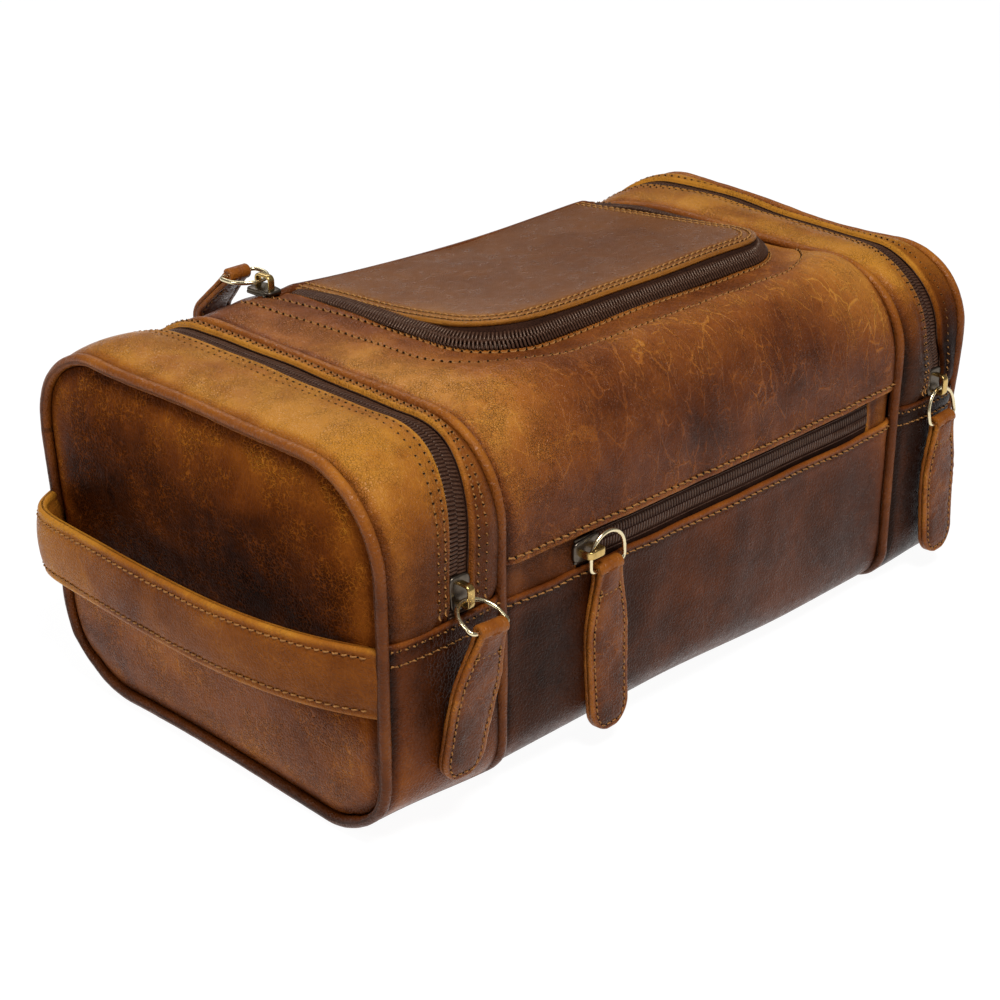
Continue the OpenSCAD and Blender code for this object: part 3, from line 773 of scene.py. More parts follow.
class Seam:
    """Rows of stitches: one mesh for their thread and one for the needle holes between them, painted dark as their
    shade.
    """

    def __init__(self):
        self.thread, self.holes = Build(), Build()

    def row(self, path, normals, proud=0.36, step=STITCH, radius=0.45):
        """One row along a path: short rounded threads that dive into holes at their ends."""
        points, tangent = resample(np.concatenate([path, normals], 1), step)
        normal = unit(points[:, 3:])
        tangent = unit(tangent[:, :3])
        points = points[:, :3]
        side = unit(np.cross(normal, tangent))
        t = np.linspace(-1, 1, 7)
        angle = np.linspace(0, 2 * math.pi, 6, endpoint=False)
        count = len(points)
        turn = np.radians(6.0 + RNG.normal(0, 4, count))[:, None]
        along = tangent * np.cos(turn) + side * np.sin(turn)
        across = unit(np.cross(normal, along))
        length = (0.43 + RNG.normal(0, 0.02, count)) * step
        height = proud - 0.85 * np.abs(t) ** 3
        fat = radius * np.sqrt(np.clip(1.02 - (0.93 * np.abs(t)) ** 4, 0.1, 1))
        centre = (points[:, None] + along[:, None] * (t[None, :, None] * length[:, None, None])
                  + normal[:, None] * height[None, :, None])
        ring = (across[:, None, None] * np.cos(angle)[None, None, :, None]
                + normal[:, None, None] * np.sin(angle)[None, None, :, None])
        verts = centre[:, :, None] + ring * fat[None, :, None, None]
        rest = stacked(t[None, :, None] * 0.15 + np.arange(count)[:, None, None], angle[None, None, :] * 0.04, 0.0)
        self.thread.add(verts, repeated(tube_faces(7, 6), count, 7 * 6), rest)
        self.add_holes((points[:-1] + points[1:]) / 2, unit(normal[:-1] + normal[1:]), tangent[:-1])

    def add_holes(self, centres, normal, tangent):
        """Needle holes: flat buttons sunk in the leather between two stitches, painted near black as the shade
        inside the holes.
        """
        side = unit(np.cross(normal, tangent))
        angle = np.linspace(0, 2 * math.pi, 7, endpoint=False)[None, :, None]
        button = tangent[:, None] * np.cos(angle) * 1.15 + side[:, None] * np.sin(angle)
        rings = [centres[:, None] + normal[:, None] * height + 0.43 * size * button
                 for size, height in ((0.55, 0.10), (1.0, -0.02), (0.9, -0.5))]
        one = grid_faces(3, 7, 0, wrap_columns=True) + [list(reversed(range(7))), list(range(14, 21))]
        self.holes.add(np.stack(rings, 1), repeated(one, len(centres), 3 * 7))

    def pieces(self, name, thread=None, **where):
        self.thread.piece(f"{name}_thread", thread or THREAD, **where)
        self.holes.piece(f"{name}_holes", HOLE_SHADE, **where)


def repeated(faces, count, points):
    """The same faces for each of a number of equal groups of points."""
    return [[i + k * points for i in f] for k in range(count) for f in faces]


# ---------- zips ----------


def add_coil(build, centre, tangent, normal, side, width=COIL_W / 2, shift=0.0):
    """Half of a coil zip: flattened turns of monofilament beside its middle line."""
    height, pitch, per_turn = 1.6, 1.35, 12
    data, _ = resample(np.concatenate([centre, tangent, normal], 1), pitch / per_turn)
    normal = unit(data[:, 6:9])
    across = unit(np.cross(normal, unit(data[:, 3:6]))) * side
    theta = np.arange(len(data)) / per_turn * 2 * math.pi + shift
    swing, rise = squarish(np.cos(theta), 0.6), squarish(np.sin(theta), 0.8)
    lateral = width * (0.46 - 0.54 * swing)
    head = 0.25 * bump(swing, 1, 0.4)
    path = data[:, :3] + across * lateral[:, None] + normal * (height / 2 * (1 + rise) * (0.82 + head))[:, None]
    build.tube(path, 0.46, sides=6)


def add_tape(build, edge_a, edge_b, normal, count=5, ripple=0.12):
    """A strip of woven tape between two lines of points."""
    t = np.linspace(0, 1, count)[None, :, None]
    outer = edge_a[:, None] * (1 - t) + edge_b[:, None] * t
    wide = np.linalg.norm(edge_b - edge_a, axis=1)
    rest = flat_rest(lengths_along(edge_a)[:, None], t[0, :, 0][None] * wide[:, None])
    outer = outer + normal[:, None] * (ripple * np.sin(math.pi * t) * waves(rest[..., 0:1] * 10, 0.0, 14, 5))
    build.sheet(outer, outer - normal[:, None] * 0.6, rest)


def zip_half(names, replaces, centre, middle, edge, normal, axis, toward, **where):
    """One half of a zip, toward one side of an axis: its tape, its coil and the line that sews it on."""
    tangent = unit(np.gradient(centre, axis=0))
    tape, coil = Build(), Build()
    add_tape(tape, middle, edge, normal)
    across = unit(np.cross(normal, tangent))
    side = 1 if across[:, axis].mean() * toward > 0 else -1
    add_coil(coil, centre, tangent, normal, side, shift=0 if toward > 0 else math.pi)
    line, _ = resample(centre + across * (side * 4.3) - normal * 0.2, 0.45)
    line[:, 2] += 0.10 * np.sin(np.arange(len(line)) * 2.1)
    coil.tube(line, 0.17, sides=5)
    tape.piece(names % "tape", TAPE, slot="zip", replaces=replaces, **where)
    coil.piece(names % "coil", COIL, slot="zip", **where)


# ---------- main compartment ----------


def lid_outline(grow, count=400):
    """Points x, y of the lid's outline grown by grow, from its rear left round the front."""
    x0, x1 = LID_X[0] - grow, LID_X[1] + grow
    y0 = HINGE_Y - LID_DEPTH - grow
    r = LID_R + grow
    turn = np.radians(np.linspace(180, 270, 40))
    left = np.stack([x0 + r + r * np.cos(turn), y0 + r + r * np.sin(turn)], 1)
    right = np.stack([x1 - r - r * np.cos(turn), y0 + r + r * np.sin(turn)], 1)[::-1]
    points = np.concatenate([[[x0, HINGE_Y - 0.2]], left, right, [[x1, HINGE_Y - 0.2]]])
    lengths = lengths_along(points)
    at = np.linspace(0, lengths[-1], count)
    return np.stack([np.interp(at, lengths, column) for column in points.T], 1), at / lengths[-1]


def opening_frame(count=420):
    """Matching points x, s on the lid's opening and on the panel's outer edge, along the U."""
    inner, share = lid_outline(LID_GAP, count)
    inner = np.stack([inner[:, 0], s_top(inner[:, 1])], 1)
    x0, x1 = MAIN_X
    low, rear = s_front(MAIN_EDGE_Z), s_top(HINGE_Y + 1)
    corner_a = share[np.argmin(inner[:, 0] + inner[:, 1])]
    corner_b = share[np.argmax(inner[:, 0] - inner[:, 1])]
    sides = ((0, corner_a, (x0, rear), (x0, low)), (corner_a, corner_b, (x0, low), (x1, low)),
             (corner_b, 1, (x1, low), (x1, rear)))
    outer = np.zeros_like(inner)
    for start, end, a, b in sides:
        here = (share >= start) & (share <= end)
        t = ((share[here] - start) / (end - start))[:, None]
        outer[here] = np.array(a) * (1 - t) + np.array(b) * t
    return inner, outer


U_ROWS = (2.0, 13.5)          # the stitch rows round the opening, from its edge
MAIN_X = (LEFT_IN + SEAM_GAP, RIGHT_IN - SEAM_GAP)   # the main compartment's panels reach from seam to seam


def u_distance(x, s):
    """Distance outside the lid's opening on the developed leather."""
    y = (s - TOP_0) - (HALF_D - TOP_R)
    x0, x1 = LID_X[0] - LID_GAP, LID_X[1] + LID_GAP
    y0 = HINGE_Y - LID_DEPTH - LID_GAP
    r = LID_R + LID_GAP
    dx = np.maximum(np.maximum(x0 + r - x, x - (x1 - r)), 0)
    dy = np.maximum(y0 + r - y, 0)
    round_part = np.hypot(dx, dy) - r
    straight = np.maximum(np.maximum(x0 - x, x - x1), y0 - y)
    return np.where((dx > 0) & (dy > 0), round_part, straight)


def top_swell(x, s):
    """The lid lifts the leather round its opening, and the front below it hangs in a soft hollow."""
    d = u_distance(x, s)
    front = smooth((TOP_0 + 40 - s) / 50)
    hollow = -1.6 * bump(d, 7, 5) * front
    roll = 1.6 * bump(d, 24, 12) * front
    corner = 1.4 * bump(x, -62, 20) * bump(s, TOP_0 - 6, 16) + 1.0 * bump(x, 98, 12) * bump(s, TOP_0 - 4, 16)
    sag = -1.4 * bump(x, 15, 60) * bump(s, FRONT_1 + 8, 18)
    folds = 0.35 * waves(x, s * 0.35, 13, 21) * bump(s, FRONT_1 + 14, 30)
    folds = folds + 0.22 * waves(x * 1.4, s * 0.5, 6, 33) * bump(d, 20, 16) * front
    edge = 0.8 * bump(s, s_front(MAIN_EDGE_Z), 7)
    bed = -1.4 * bump(x, -67, 7) * bump(s, s_top(60), 14)
    return hollow + roll + corner + sag + folds + edge + bed


def row_flare(x, s):
    """How far the stitch rows round the opening spread to the left towards the hinge."""
    return 6.0 * smooth((s - s_top(0)) / (s_top(HINGE_Y) - s_top(0))) * (x < LID_X[0])


def main_top_panel():
    inner, outer = opening_frame()
    ray = outer - inner
    length = np.linalg.norm(ray, axis=1)
    near = np.concatenate([LIP, [2.3, 2.9, 3.6, 4.4, 5.2]])
    rows = [inner + unit(ray) * d for d in near]
    start, stop = near[-1], length - LIP[-1]
    for k in range(1, 64):
        rows.append(inner + unit(ray) * (start + (stop - start) * k / 64)[:, None])
    rows += [outer - unit(ray) * d for d in LIP[::-1]]
    x, s = np.moveaxis(np.stack(rows, 1), -1, 0)
    d_in = np.maximum(u_distance(x, s), 0)
    d_low = s - s_front(MAIN_EDGE_Z)
    edge = np.minimum(d_in, np.maximum(d_low, 0))
    drop = edge_drop(edge)
    press = sum(0.5 * bump(d_in - row_flare(x, s), row, ROW_W) for row in U_ROWS)
    press = press + 0.5 * bump(d_low, EDGE_ROW, ROW_W)
    proud = TOP_PROUD - press + top_swell(x, s)
    tone = 0.36 + 0.20 * smooth((s - FRONT_1) / (TOP_0 - FRONT_1)) + 0.05 * bump(d_in, 17, 7)
    # The darker band 7 mm outside the opening is painted shade in the hollow that top_swell makes there.
    wear = bag_wear(x, s, tone - 0.04 * bump(d_in, 7, 4)) + 0.25 * bump(edge, 0.4, 1.3)
    vein = 0.90 * smooth((TOP_0 + 20 - s) / 26) * (0.5 + 0.5 * smooth((x + 60) / 60)) + 0.15
    looks = stacked(wear, vein, 0.25 + 0.3 * bump(x, -85, 16))
    upper, lower = on_bag(x, s, proud - drop), on_bag(x, s, proud - LEATHER + drop)
    Build().sheet(upper, lower, flat_rest(x, s), looks).piece(
        "main_top_panel_leather", MAIN_LEATHER, "bag", "tan_leather", ["main_top_panel"])


TOP_PROUD = 0.3               # the top panel's leather stands this far off the bag's form
POCKET_ROW = s_front(POCKET_EDGE_Z) - 2.6


def pocket_swell(x, s):
    """The front pocket's panel is a little full, with upright folds below its edge."""
    height = (s - FRONT_0) / (s_front(POCKET_EDGE_Z) - FRONT_0)
    full = 1.6 * np.sin(math.pi * np.clip(height, 0, 1)) * bump(x, 10, 90)
    folds = 0.5 * waves(x, s * 0.25, 30, 41) * smooth(height * 2)
    return full + folds - 0.4 + 0.9 * bump(s, s_front(POCKET_EDGE_Z), 5)


def main_panels():
    bag_panel(MAIN_X, (s_top(HINGE_Y + 1), s_back(BOTTOM_R - 14)), 0.34, vein=0.35, grain=0.35).piece(
        "back_panel_leather", BROWN, "bag", "brown_leather", ["back_panel"])
    half = HALF_D - BOTTOM_R + 1
    x, y = np.meshgrid(stations(*MAIN_X, 3), stations(-half, half, 3), indexing="ij")
    floor_panel("bottom_panel_leather", x, y, 0.9 + 0.3 * waves(x, y, 60, 8), 7, ["bottom_panel"])

    def pocket_tone(x, s):
        return 0.10 + 0.08 * bump(s, s_front(POCKET_EDGE_Z) - 3, 5) + 0.13 * smooth((x + 60) / 60)

    bag_panel(MAIN_X, (HALF_D - BOTTOM_R - 4, s_front(POCKET_EDGE_Z)), pocket_tone, [POCKET_ROW],
              round_s=(False, True), vein=0.18, grain=0.05, swell=pocket_swell).piece(
        "front_pocket_leather", BROWN, "bag", "brown_leather", ["front_pocket_panel"])


# ---------- end compartments ----------


class End:
    """Measurements of one end compartment; out is -1 at the left and 1 at the right."""

    def __init__(self, name, out, seam_in, seam_out, zip_x):
        self.name, self.out, self.seam_in, self.seam_out = name, out, seam_in, seam_out
        self.zip_x, self.cover = zip_x, f"{name}_cover"

    def nodes(self, *names):
        return [f"{self.name}_{n}" for n in names]

    def between(self, gap):
        """From seam to seam, less a gap at each."""
        return sorted((self.seam_in + self.out * gap, self.seam_out - self.out * gap))


ENDS = (End("left", -1, LEFT_IN, LEFT, LEFT_ZIP_X), End("right", 1, RIGHT_IN, RIGHT, RIGHT_ZIP_X))
ARCH = (s_front(SEAM_Z - 1.5), s_back(SEAM_Z - 1.5))   # the strips and the zip run over the top between these
GUSSET_TOP = s_front(SEAM_Z + 0.6)
GUSSET_ROWS = (2.4, 7.4)      # the stitch rows of the gussets, from their upper edges
# The stitch rows of the strips beside the zips, and their tones at the bottom and at the top
STRIP_ROWS = {("left", False): (2.6, 6.2), ("left", True): (2.4, 5.0),
              ("right", True): (2.4, 5.0), ("right", False): (3.2,)}
# The much lighter tone over the top is partly painted light, on the faces that turn up toward the light.
STRIP_TONES = {("left", False): (0.33, 0.86), ("left", True): (0.32, 0.62),
               ("right", True): (0.12, 0.86), ("right", False): (0.12, 0.92)}


def zip_shift(end, s):
    """The end zips do not run straight: both lie further to the right over the top than at the front."""
    low = joint_at(f"{end.name}_ring_swing")[0] - end.zip_x
    near = np.minimum(s, WHOLE - s)
    if end.out < 0:
        return low + (5.0 - low) * smooth((near - FRONT_1) / 40)
    return low - 4.0 * smooth((near - s_front(84)) / 14) + 11.0 * smooth((near - FRONT_1 - 22) / 60)


def gusset(end):
    """The leather below the zip's strips, at the front, at the back and underneath."""
    def tone(x, s):
        """Painted shade: dark under the strips, and lighter towards the ground."""
        low = smooth((52 - section(s)[1]) / 40)
        return 0.14 + 0.22 * low if end.out < 0 else -0.04 + 0.10 * low

    xs = end.between(SEAM_GAP)
    front = [GUSSET_TOP - row for row in GUSSET_ROWS]
    how = {"lift": 1.0, "vein": 0.25, "grain": 0.3}
    build = bag_panel(xs, (FRONT_0 - 22, GUSSET_TOP), tone, front, round_s=(False, True), **how)
    bag_panel(xs, (WHOLE - GUSSET_TOP, WHOLE - FRONT_0 + 22), tone, [WHOLE - row for row in front],
              round_s=(True, False), build=build, **how)
    build.piece(f"{end.name}_gusset_lower_leather", BROWN, "bag", "brown_leather", end.nodes("gusset_lower"))
    x, y = np.meshgrid(np.linspace(*xs, 24), np.linspace(4 - HALF_D, HALF_D - 4, 90), indexing="ij")
    floor_panel(f"{end.name}_gusset_floor_leather", x, y, 0.9 + 2.2 * smooth((np.abs(y) - HALF_D + 14) / 14), 9)


def gusset_threads(end):
    """The two rows along the top of the lower gusset, at the front and at the back."""
    seam = Seam()
    x = np.linspace(*end.between(3.4), 240)
    front = [GUSSET_TOP - row for row in GUSSET_ROWS]
    for place in (*front, *(WHOLE - row for row in front)):
        s = np.full_like(x, place)
        seam.row(on_bag(x, s, 0.95 - 0.4), bag_normal(x, s))
    seam.pieces(f"{end.name}_gusset", body="bag")


def strip(end, inner_side):
    """The leather strip between the zip and a seam, and its stitches."""
    seam_x, toward = (end.seam_in, end.out) if inner_side else (end.seam_out, -end.out)
    start = seam_x + toward * SEAM_GAP
    wide = abs(end.zip_x - toward * ZIP_EDGE - start)
    full = min(wide / 20, 1.2)
    d, s = np.meshgrid(stations(0, wide, 1.1, True), stations(*ARCH, 1.3), indexing="ij")   # d is from the zip
    edge_x = end.zip_x + zip_shift(end, s) - toward * ZIP_EDGE
    x = edge_x + (start - edge_x) * d / wide
    true_d = np.abs(x - edge_x)
    rows = STRIP_ROWS[(end.name, inner_side)]
    press = sum(0.5 * bump(true_d, row, ROW_W) for row in rows)
    puff = 1.6 * np.sin(math.pi * np.clip(d / wide, 0, 1)) ** 0.8 * full
    sink = 2.2 * (smooth((s_front(SEAM_Z + 6) - s) / 8) + smooth((s - s_back(SEAM_Z + 6)) / 8))
    drop = edge_drop(true_d)
    proud = 0.2 + puff - press - sink
    # Lighter towards the top of the arch: partly painted light on the upward faces.
    height = smooth((s - s_front(84)) / 56) * smooth((s_back(84) - s) / 56)
    low, high = STRIP_TONES[(end.name, inner_side)]
    wear = bag_wear(x, s, low + (high - low) * height) + 0.24 * bump(true_d, 0.4, 1.2)
    build = Build().sheet(on_bag(x, s, proud - drop), on_bag(x, s, proud - LEATHER + drop), flat_rest(x, s, 3.0),
                          stacked(wear, 0.25, 0.35), flip=toward > 0)
    side = "inner" if inner_side else "outer"
    where = {"body": "bag"} if inner_side else {"blend": end.cover}
    material = TAN if inner_side or end.out < 0 else SHADED
    build.piece(f"{end.name}_strip_{side}_leather", material, slot="tan_leather",
                replaces=end.nodes(f"gusset_{side}"), **where)
    seam = Seam()
    line = np.linspace(ARCH[0] + 6, ARCH[1] - 6, 300)
    edge_x = end.zip_x + zip_shift(end, line) - toward * ZIP_EDGE
    for row in rows:
        share = row / wide
        x = edge_x + (start - edge_x) * share
        lift = 0.2 + 1.6 * math.sin(math.pi * share) ** 0.8 * full - 0.5
        seam.row(on_bag(x, line, lift), bag_normal(x, line))
    seam.pieces(f"{end.name}_strip_{side}", **where)


def end_panel(end):
    """The panel that closes the end: a pillow of leather sewn in all round."""
    inset = PIPING_R + 0.3
    low, top = PIPING_R + inset, TOP - inset
    outline = rounded_outline(HALF_D - inset, low, top, TOP_R - inset, BOTTOM_R - inset, 26)
    outline = resample(outline, 1.5)[0][:-1]
    medial = np.stack([middle_of(outline[:, 0], -33, 33), 0 * outline[:, 0] + (low + top) / 2], 1)
    steps = np.concatenate([[0, 0.012, 0.03, 0.055], np.linspace(0.085, 1, 46)])
    points = outline[:, None] + (medial - outline)[:, None] * steps[None, :, None]
    y, z = points[..., 0], points[..., 1]
    depth = np.minimum(np.linalg.norm(points - outline[:, None], axis=-1), 40)
    if end.out < 0:
        pillow = 3.2 * (1 - np.exp(-depth / 7.0)) + 2.2 * bump(z, 94, 26) * smooth(depth / 24)
        pillow = pillow - 1.8 * bump(z, 60, 26) * smooth(depth / 30) + 0.6 * waves(y, z, 44, 12) * smooth(depth / 12)
        pillow = pillow + 0.22 * waves(y * 0.8, z, 9, 14) * bump(z, 78, 26) * smooth(depth / 10)
    else:
        pillow = 4.0 * (1 - np.exp(-depth / 7.0)) + 6.5 * bump(z, 84, 34) * smooth(depth / 30)
        pillow = pillow + 0.6 * waves(y, z, 44, 15) * smooth(depth / 12)
    x = end.seam_out + end.out * (pillow - 0.4)
    outer = stacked(x, y, z)
    if end.out < 0:
        wear = 0.46 - 0.36 * bump(z, 80, 32) * smooth(depth / 20) + 0.08 * bump(y, 10, 22) * bump(z, 76, 12)
        wear = wear + 0.14 * bump(z, 32, 14) * smooth((y + 50) / 60) - 0.04 * bump(z, 14, 10)
    else:
        wear = 0.52 + 0.16 * bump(z, 112, 22) - 0.32 * bump(z, 20, 40)
    # Painted shade where the panel dives into the piping, and a faint painted highlight on its rounded rim just
    # inside.
    wear = wear - 0.20 * bump(depth, 1, 2) + 0.05 * bump(depth, 6, 3)
    grain = 0.95 - 0.3 * smooth((48 - z) / 20) if end.out < 0 else 0.4 + 0 * z
    Build().sheet(outer, outer - [end.out * LEATHER, 0, 0], flat_rest(y, z, 5 * end.out),
                  stacked(wear, 0.35, grain), wrap=True, met=True, flip=end.out < 0).piece(
        f"{end.name}_end_panel_leather", END_LEATHER, slot="brown_leather", blend=end.cover,
        replaces=end.nodes("end_panel_lower", "end_panel_upper"))


def piping(name, x, nodes, **where):
    """Leather rolled over a cord, round the bag and clear of the ground along the bottom."""
    step = 1.6
    outline = rounded_outline(HALF_D, PIPING_R, TOP, TOP_R, BOTTOM_R, 24)
    path = resample(np.concatenate([np.full((len(outline), 1), x), outline], 1), step)[0][:-1]
    y, z = path[:, 1], path[:, 2]
    path[:, 0] += 0.5 * waves(y, z, 70, int(abs(x))) * smooth((z - 20) / 30)
    around = np.arange(len(path)) * step
    radius = PIPING_R * (0.93 + 0.02 * waves(around, 0 * around, 9, 4) + 0.01 * waves(around, 0 * around, 3, 6))
    wear = 0.36 + 0.26 * smooth((z - 70) / 50) - 0.04 * smooth((30 - z) / 30)
    sides = 14
    # Lighter along the crest: partly rubbing and partly a painted highlight.
    ridge = np.sin(np.linspace(0, 2 * math.pi, sides, endpoint=False))[None] ** 2
    looks = stacked(wear[:, None] + 0.14 * ridge - 0.08, 0.15, 0.1)
    tangent = unit(np.roll(path, -1, 0) - np.roll(path, 1, 0))
    Build().tube(path, radius, sides, closed=True, up=np.cross(tangent, [1.0, 0, 0]), looks=looks).piece(
        f"{name}_leather", PIPING, slot="piping_leather", replaces=nodes, **where)


def end_zip(end):
    """The end zip: one half on the bag, toward the inner seam, and the other on the cover."""
    s = np.linspace(*ARCH, 260)
    x = end.zip_x + zip_shift(end, s)
    centre, normal = on_bag(x, s, -1.5), bag_normal(x, s)
    for half, toward, where in (("inner", -end.out, {"body": "bag"}), ("outer", end.out, {"blend": end.cover})):
        edge = on_bag(x + toward * (ZIP_GAP / 2 + 2.5), s, -2.6)
        middle_line = on_bag(x + toward * 0.1, s, -1.9)
        zip_half(f"{end.name}_zip_%s_{half}", end.nodes(f"zip_{half}"), centre, middle_line, edge, normal, 0,
                 toward, **where)


# ---------- front pocket ----------


def pocket_zip():
    x = np.linspace(POCKET_X[0] - 2, POCKET_X[1] + 2, 200)
    s = np.full_like(x, s_front(POCKET_ZIP_Z))
    centre, normal = on_bag(x, s, -1.6), bag_normal(x, s)
    for half, up in (("upper", 1), ("lower", -1)):
        zip_half(f"pocket_zip_%s_{half}", [f"pocket_zip_{half}"], centre, on_bag(x, s + up * 0.1, -1.9),
                 on_bag(x, s + up * 9.5, -2.7), normal, 2, up, body="bag")
    build = Build()
    ss = (s_front(POCKET_EDGE_Z) - 3, s_front(MAIN_EDGE_Z) + 3)
    for xs, ends in (((MAIN_X[0], POCKET_X[0]), (False, True)), ((POCKET_X[1], MAIN_X[1]), (True, False))):
        bag_panel(xs, ss, 0.32, round_x=ends, lift=-1.0, grain=0.4, build=build)
    build.piece("pocket_end_tab_leather", TAN, "bag", "tan_leather", ["pocket_end_tabs"])


def main_threads():
    seam = Seam()
    x = np.linspace(LEFT_IN + 3.4, RIGHT_IN - 3.4, 300)
    for place, swell, proud in ((s_front(MAIN_EDGE_Z) + EDGE_ROW, top_swell, TOP_PROUD),
                                (POCKET_ROW, pocket_swell, 0.0)):
        s = np.full_like(x, place)
        seam.row(on_bag(x, s, swell(x, s) + proud - 0.35), bag_normal(x, s), step=3.3)
    for row in U_ROWS:
        path, _ = lid_outline(LID_GAP + row, 700)
        s = s_top(path[:, 1])
        x = path[:, 0] - row_flare(path[:, 0], s)
        seam.row(on_bag(x, s, TOP_PROUD + top_swell(x, s) - 0.35), bag_normal(x, s))
    seam.pieces("main", body="bag")


# ---------- lid ----------


def lid_height(x, y):
    """Height of the lid's leather: flush along the hinge, and rising to the front."""
    v = np.clip((HINGE_Y - y) / LID_DEPTH, 0, 1)
    u = (x - LID_X[0]) / (LID_X[1] - LID_X[0])
    rise = LID_RISE * v ** 1.35
    sag = -1.6 * np.sin(math.pi * np.clip(u, 0, 1)) * np.sin(math.pi * v)
    corner = 1.2 * bump(u, 0.04, 0.16) * bump(v, 0.9, 0.3)
    return HINGE_Z - 0.2 + rise + sag + corner + 0.35 * waves(x, y, 60, 17)


LID_ROWS = (2.4, 5.6)


def lid():
    rear = np.stack([np.linspace(LID_X[1], LID_X[0], 150), np.full(150, HINGE_Y - 0.4)], 1)[1:-1]
    outline = np.concatenate([lid_outline(0, 360)[0], rear])
    middle_x = middle_of(outline[:, 0], LID_X[0] + 36, LID_X[1] - 36)
    ray = np.stack([middle_x, 0 * middle_x + HINGE_Y - LID_DEPTH / 2], 1) - outline
    length = np.linalg.norm(ray, axis=1)
    steps = np.concatenate([LIP, [2.4, 3.2, 4.2, 5.0, 5.6, 6.2, 7.2]])
    rows = [outline + unit(ray) * d for d in steps]
    for k in range(1, 46):
        rows.append(outline + unit(ray) * (steps[-1] + (length - steps[-1]) * k / 45)[:, None])
    x, y = np.moveaxis(np.stack(rows, 1), -1, 0)
    d = lid_edge_distance(x, y)
    drop = edge_drop(d)
    z = lid_height(x, y) + 0.7 * smooth(d / 8) - sum(0.45 * bump(d, row, 0.8) for row in LID_ROWS)
    u, v = (x - LID_X[0]) / (LID_X[1] - LID_X[0]), (HINGE_Y - y) / LID_DEPTH
    wear = 0.53 + 0.11 * bump(d, 3, 7) - 0.05 * bump(u, 0.55, 0.3) * bump(v, 0.6, 0.3) + 0.06 * bump(u, 0, 0.2)
    Build().sheet(stacked(x, y, z - drop), stacked(x, y, z - LEATHER + drop), flat_rest(x, y, 11.0),
                  stacked(wear + 0.10 * bump(d, 0.4, 1.2), 0.10, 0.08), wrap=True, met=True).piece(
        "lid_leather", LID_LEATHER, "lid", "brown_leather", ["lid_panel"])
    seam = Seam()
    for row in LID_ROWS:
        x, y = lid_outline(-row, 700)[0].T
        line = stacked(x, y, lid_height(x, y) + 0.7 * row / 8 - 0.3)
        seam.row(line, unit(0 * line + [0, -0.09, 1.0]), radius=0.31)
    seam.pieces("lid", GOLD_THREAD, body="lid")


def lid_edge_distance(x, y):
    """Distance inside the lid's sewn edge; the hinge side does not count."""
    x0, x1, y0 = LID_X[0], LID_X[1], HINGE_Y - LID_DEPTH
    dx = np.maximum(np.maximum(x0 + LID_R - x, x - (x1 - LID_R)), 0)
    dy = np.maximum(y0 + LID_R - y, 0)
    straight = np.minimum(np.minimum(x - x0, x1 - x), y - y0)
    return np.maximum(np.where((dx > 0) & (dy > 0), LID_R - np.hypot(dx, dy), straight), 0)


def lid_zip():
    """The lid's zip: tape falls from the lid's edge to the coil, whose other half lies on the bag."""
    count = 420
    x, y = lid_outline(1.7, count)[0].T
    v = np.clip((HINGE_Y - y) / LID_DEPTH, 0, 1)
    centre = stacked(x, y, TOP - 0.7 + 1.7 * smooth(v / 0.3) + 2.8 * v)
    tangent = unit(np.gradient(centre, axis=0))
    upward = np.array([0, 0, 1.0])
    outward = unit(np.cross(tangent, upward))
    if outward[:10, 0].mean() > 0:
        outward = -outward
    lean = np.radians(52 * v ** 1.2)[:, None]
    normal = unit(upward * np.cos(lean) + outward * np.sin(lean))
    down = unit(outward * np.cos(lean) - upward * np.sin(lean))
    lid_side = 1 if (np.cross(normal, tangent) * -down).sum(1).mean() > 0 else -1
    edge = lid_outline(-0.9, count)[0].T
    hem = stacked(*edge, lid_height(*edge) - 1.4)
    seat = centre - normal * 0.5
    t = np.linspace(0, 1, 9)[None, :, None]
    bulge = centre * 0.5 + hem * 0.5 + outward * (0.9 * v[:, None]) - [0, 0, 0.2]
    curve = ((1 - t) ** 2 * hem[:, None] + 2 * t * (1 - t) * bulge[:, None]
             + t ** 2 * (seat - down * 0.1)[:, None])
    rest = stacked(np.arange(count)[:, None] / 12, t[0, :, 0][None] * 0.7, 0.0)
    tapes = {"inner": Build().sheet(curve, curve - outward[:, None] * 0.5 - [0, 0, 0.25], rest), "outer": Build()}
    far = lid_outline(LID_GAP + 2.6, count)[0].T
    add_tape(tapes["outer"], seat + down * 0.1, on_bag(far[0], s_top(far[1]), -2.0), normal, count=6, ripple=0.0)
    clear = HINGE_Y - y > 3.0            # the teeth stop short of the hinge
    for half, body, side, shift in (("inner", "lid", lid_side, 0.0), ("outer", "bag", -lid_side, math.pi)):
        tapes[half].piece(f"lid_zip_tape_{half}", TAPE, body, "zip", [f"lid_zip_{half}"])
        coil = Build()
        add_coil(coil, centre[clear], tangent[clear], normal[clear], side, width=3.0, shift=shift)
        coil.piece(f"lid_zip_coil_{half}", COIL, body, "zip")


def lid_welt():
    """The rolled seam of the hinge, darker than the leather beside it."""
    x = np.linspace(LID_X[0] - 6, LID_X[1] + 5, 120)
    low = 0.9 * smooth((LID_X[0] + 1 - x) / 6) + 0.9 * smooth((x - LID_X[1] + 1) / 5)
    path = stacked(x, WELT[1] + 0.12 * waves(x, 0 * x, 40, 2), WELT[2] - 0.2 - low)
    Build().tube(path, 1.9, sides=12, looks=(0.42, 0.1, 0.1)).piece(
        "lid_welt_leather", PIPING, "bag", "piping_leather", ["lid_welt"])


# ---------- handle ----------


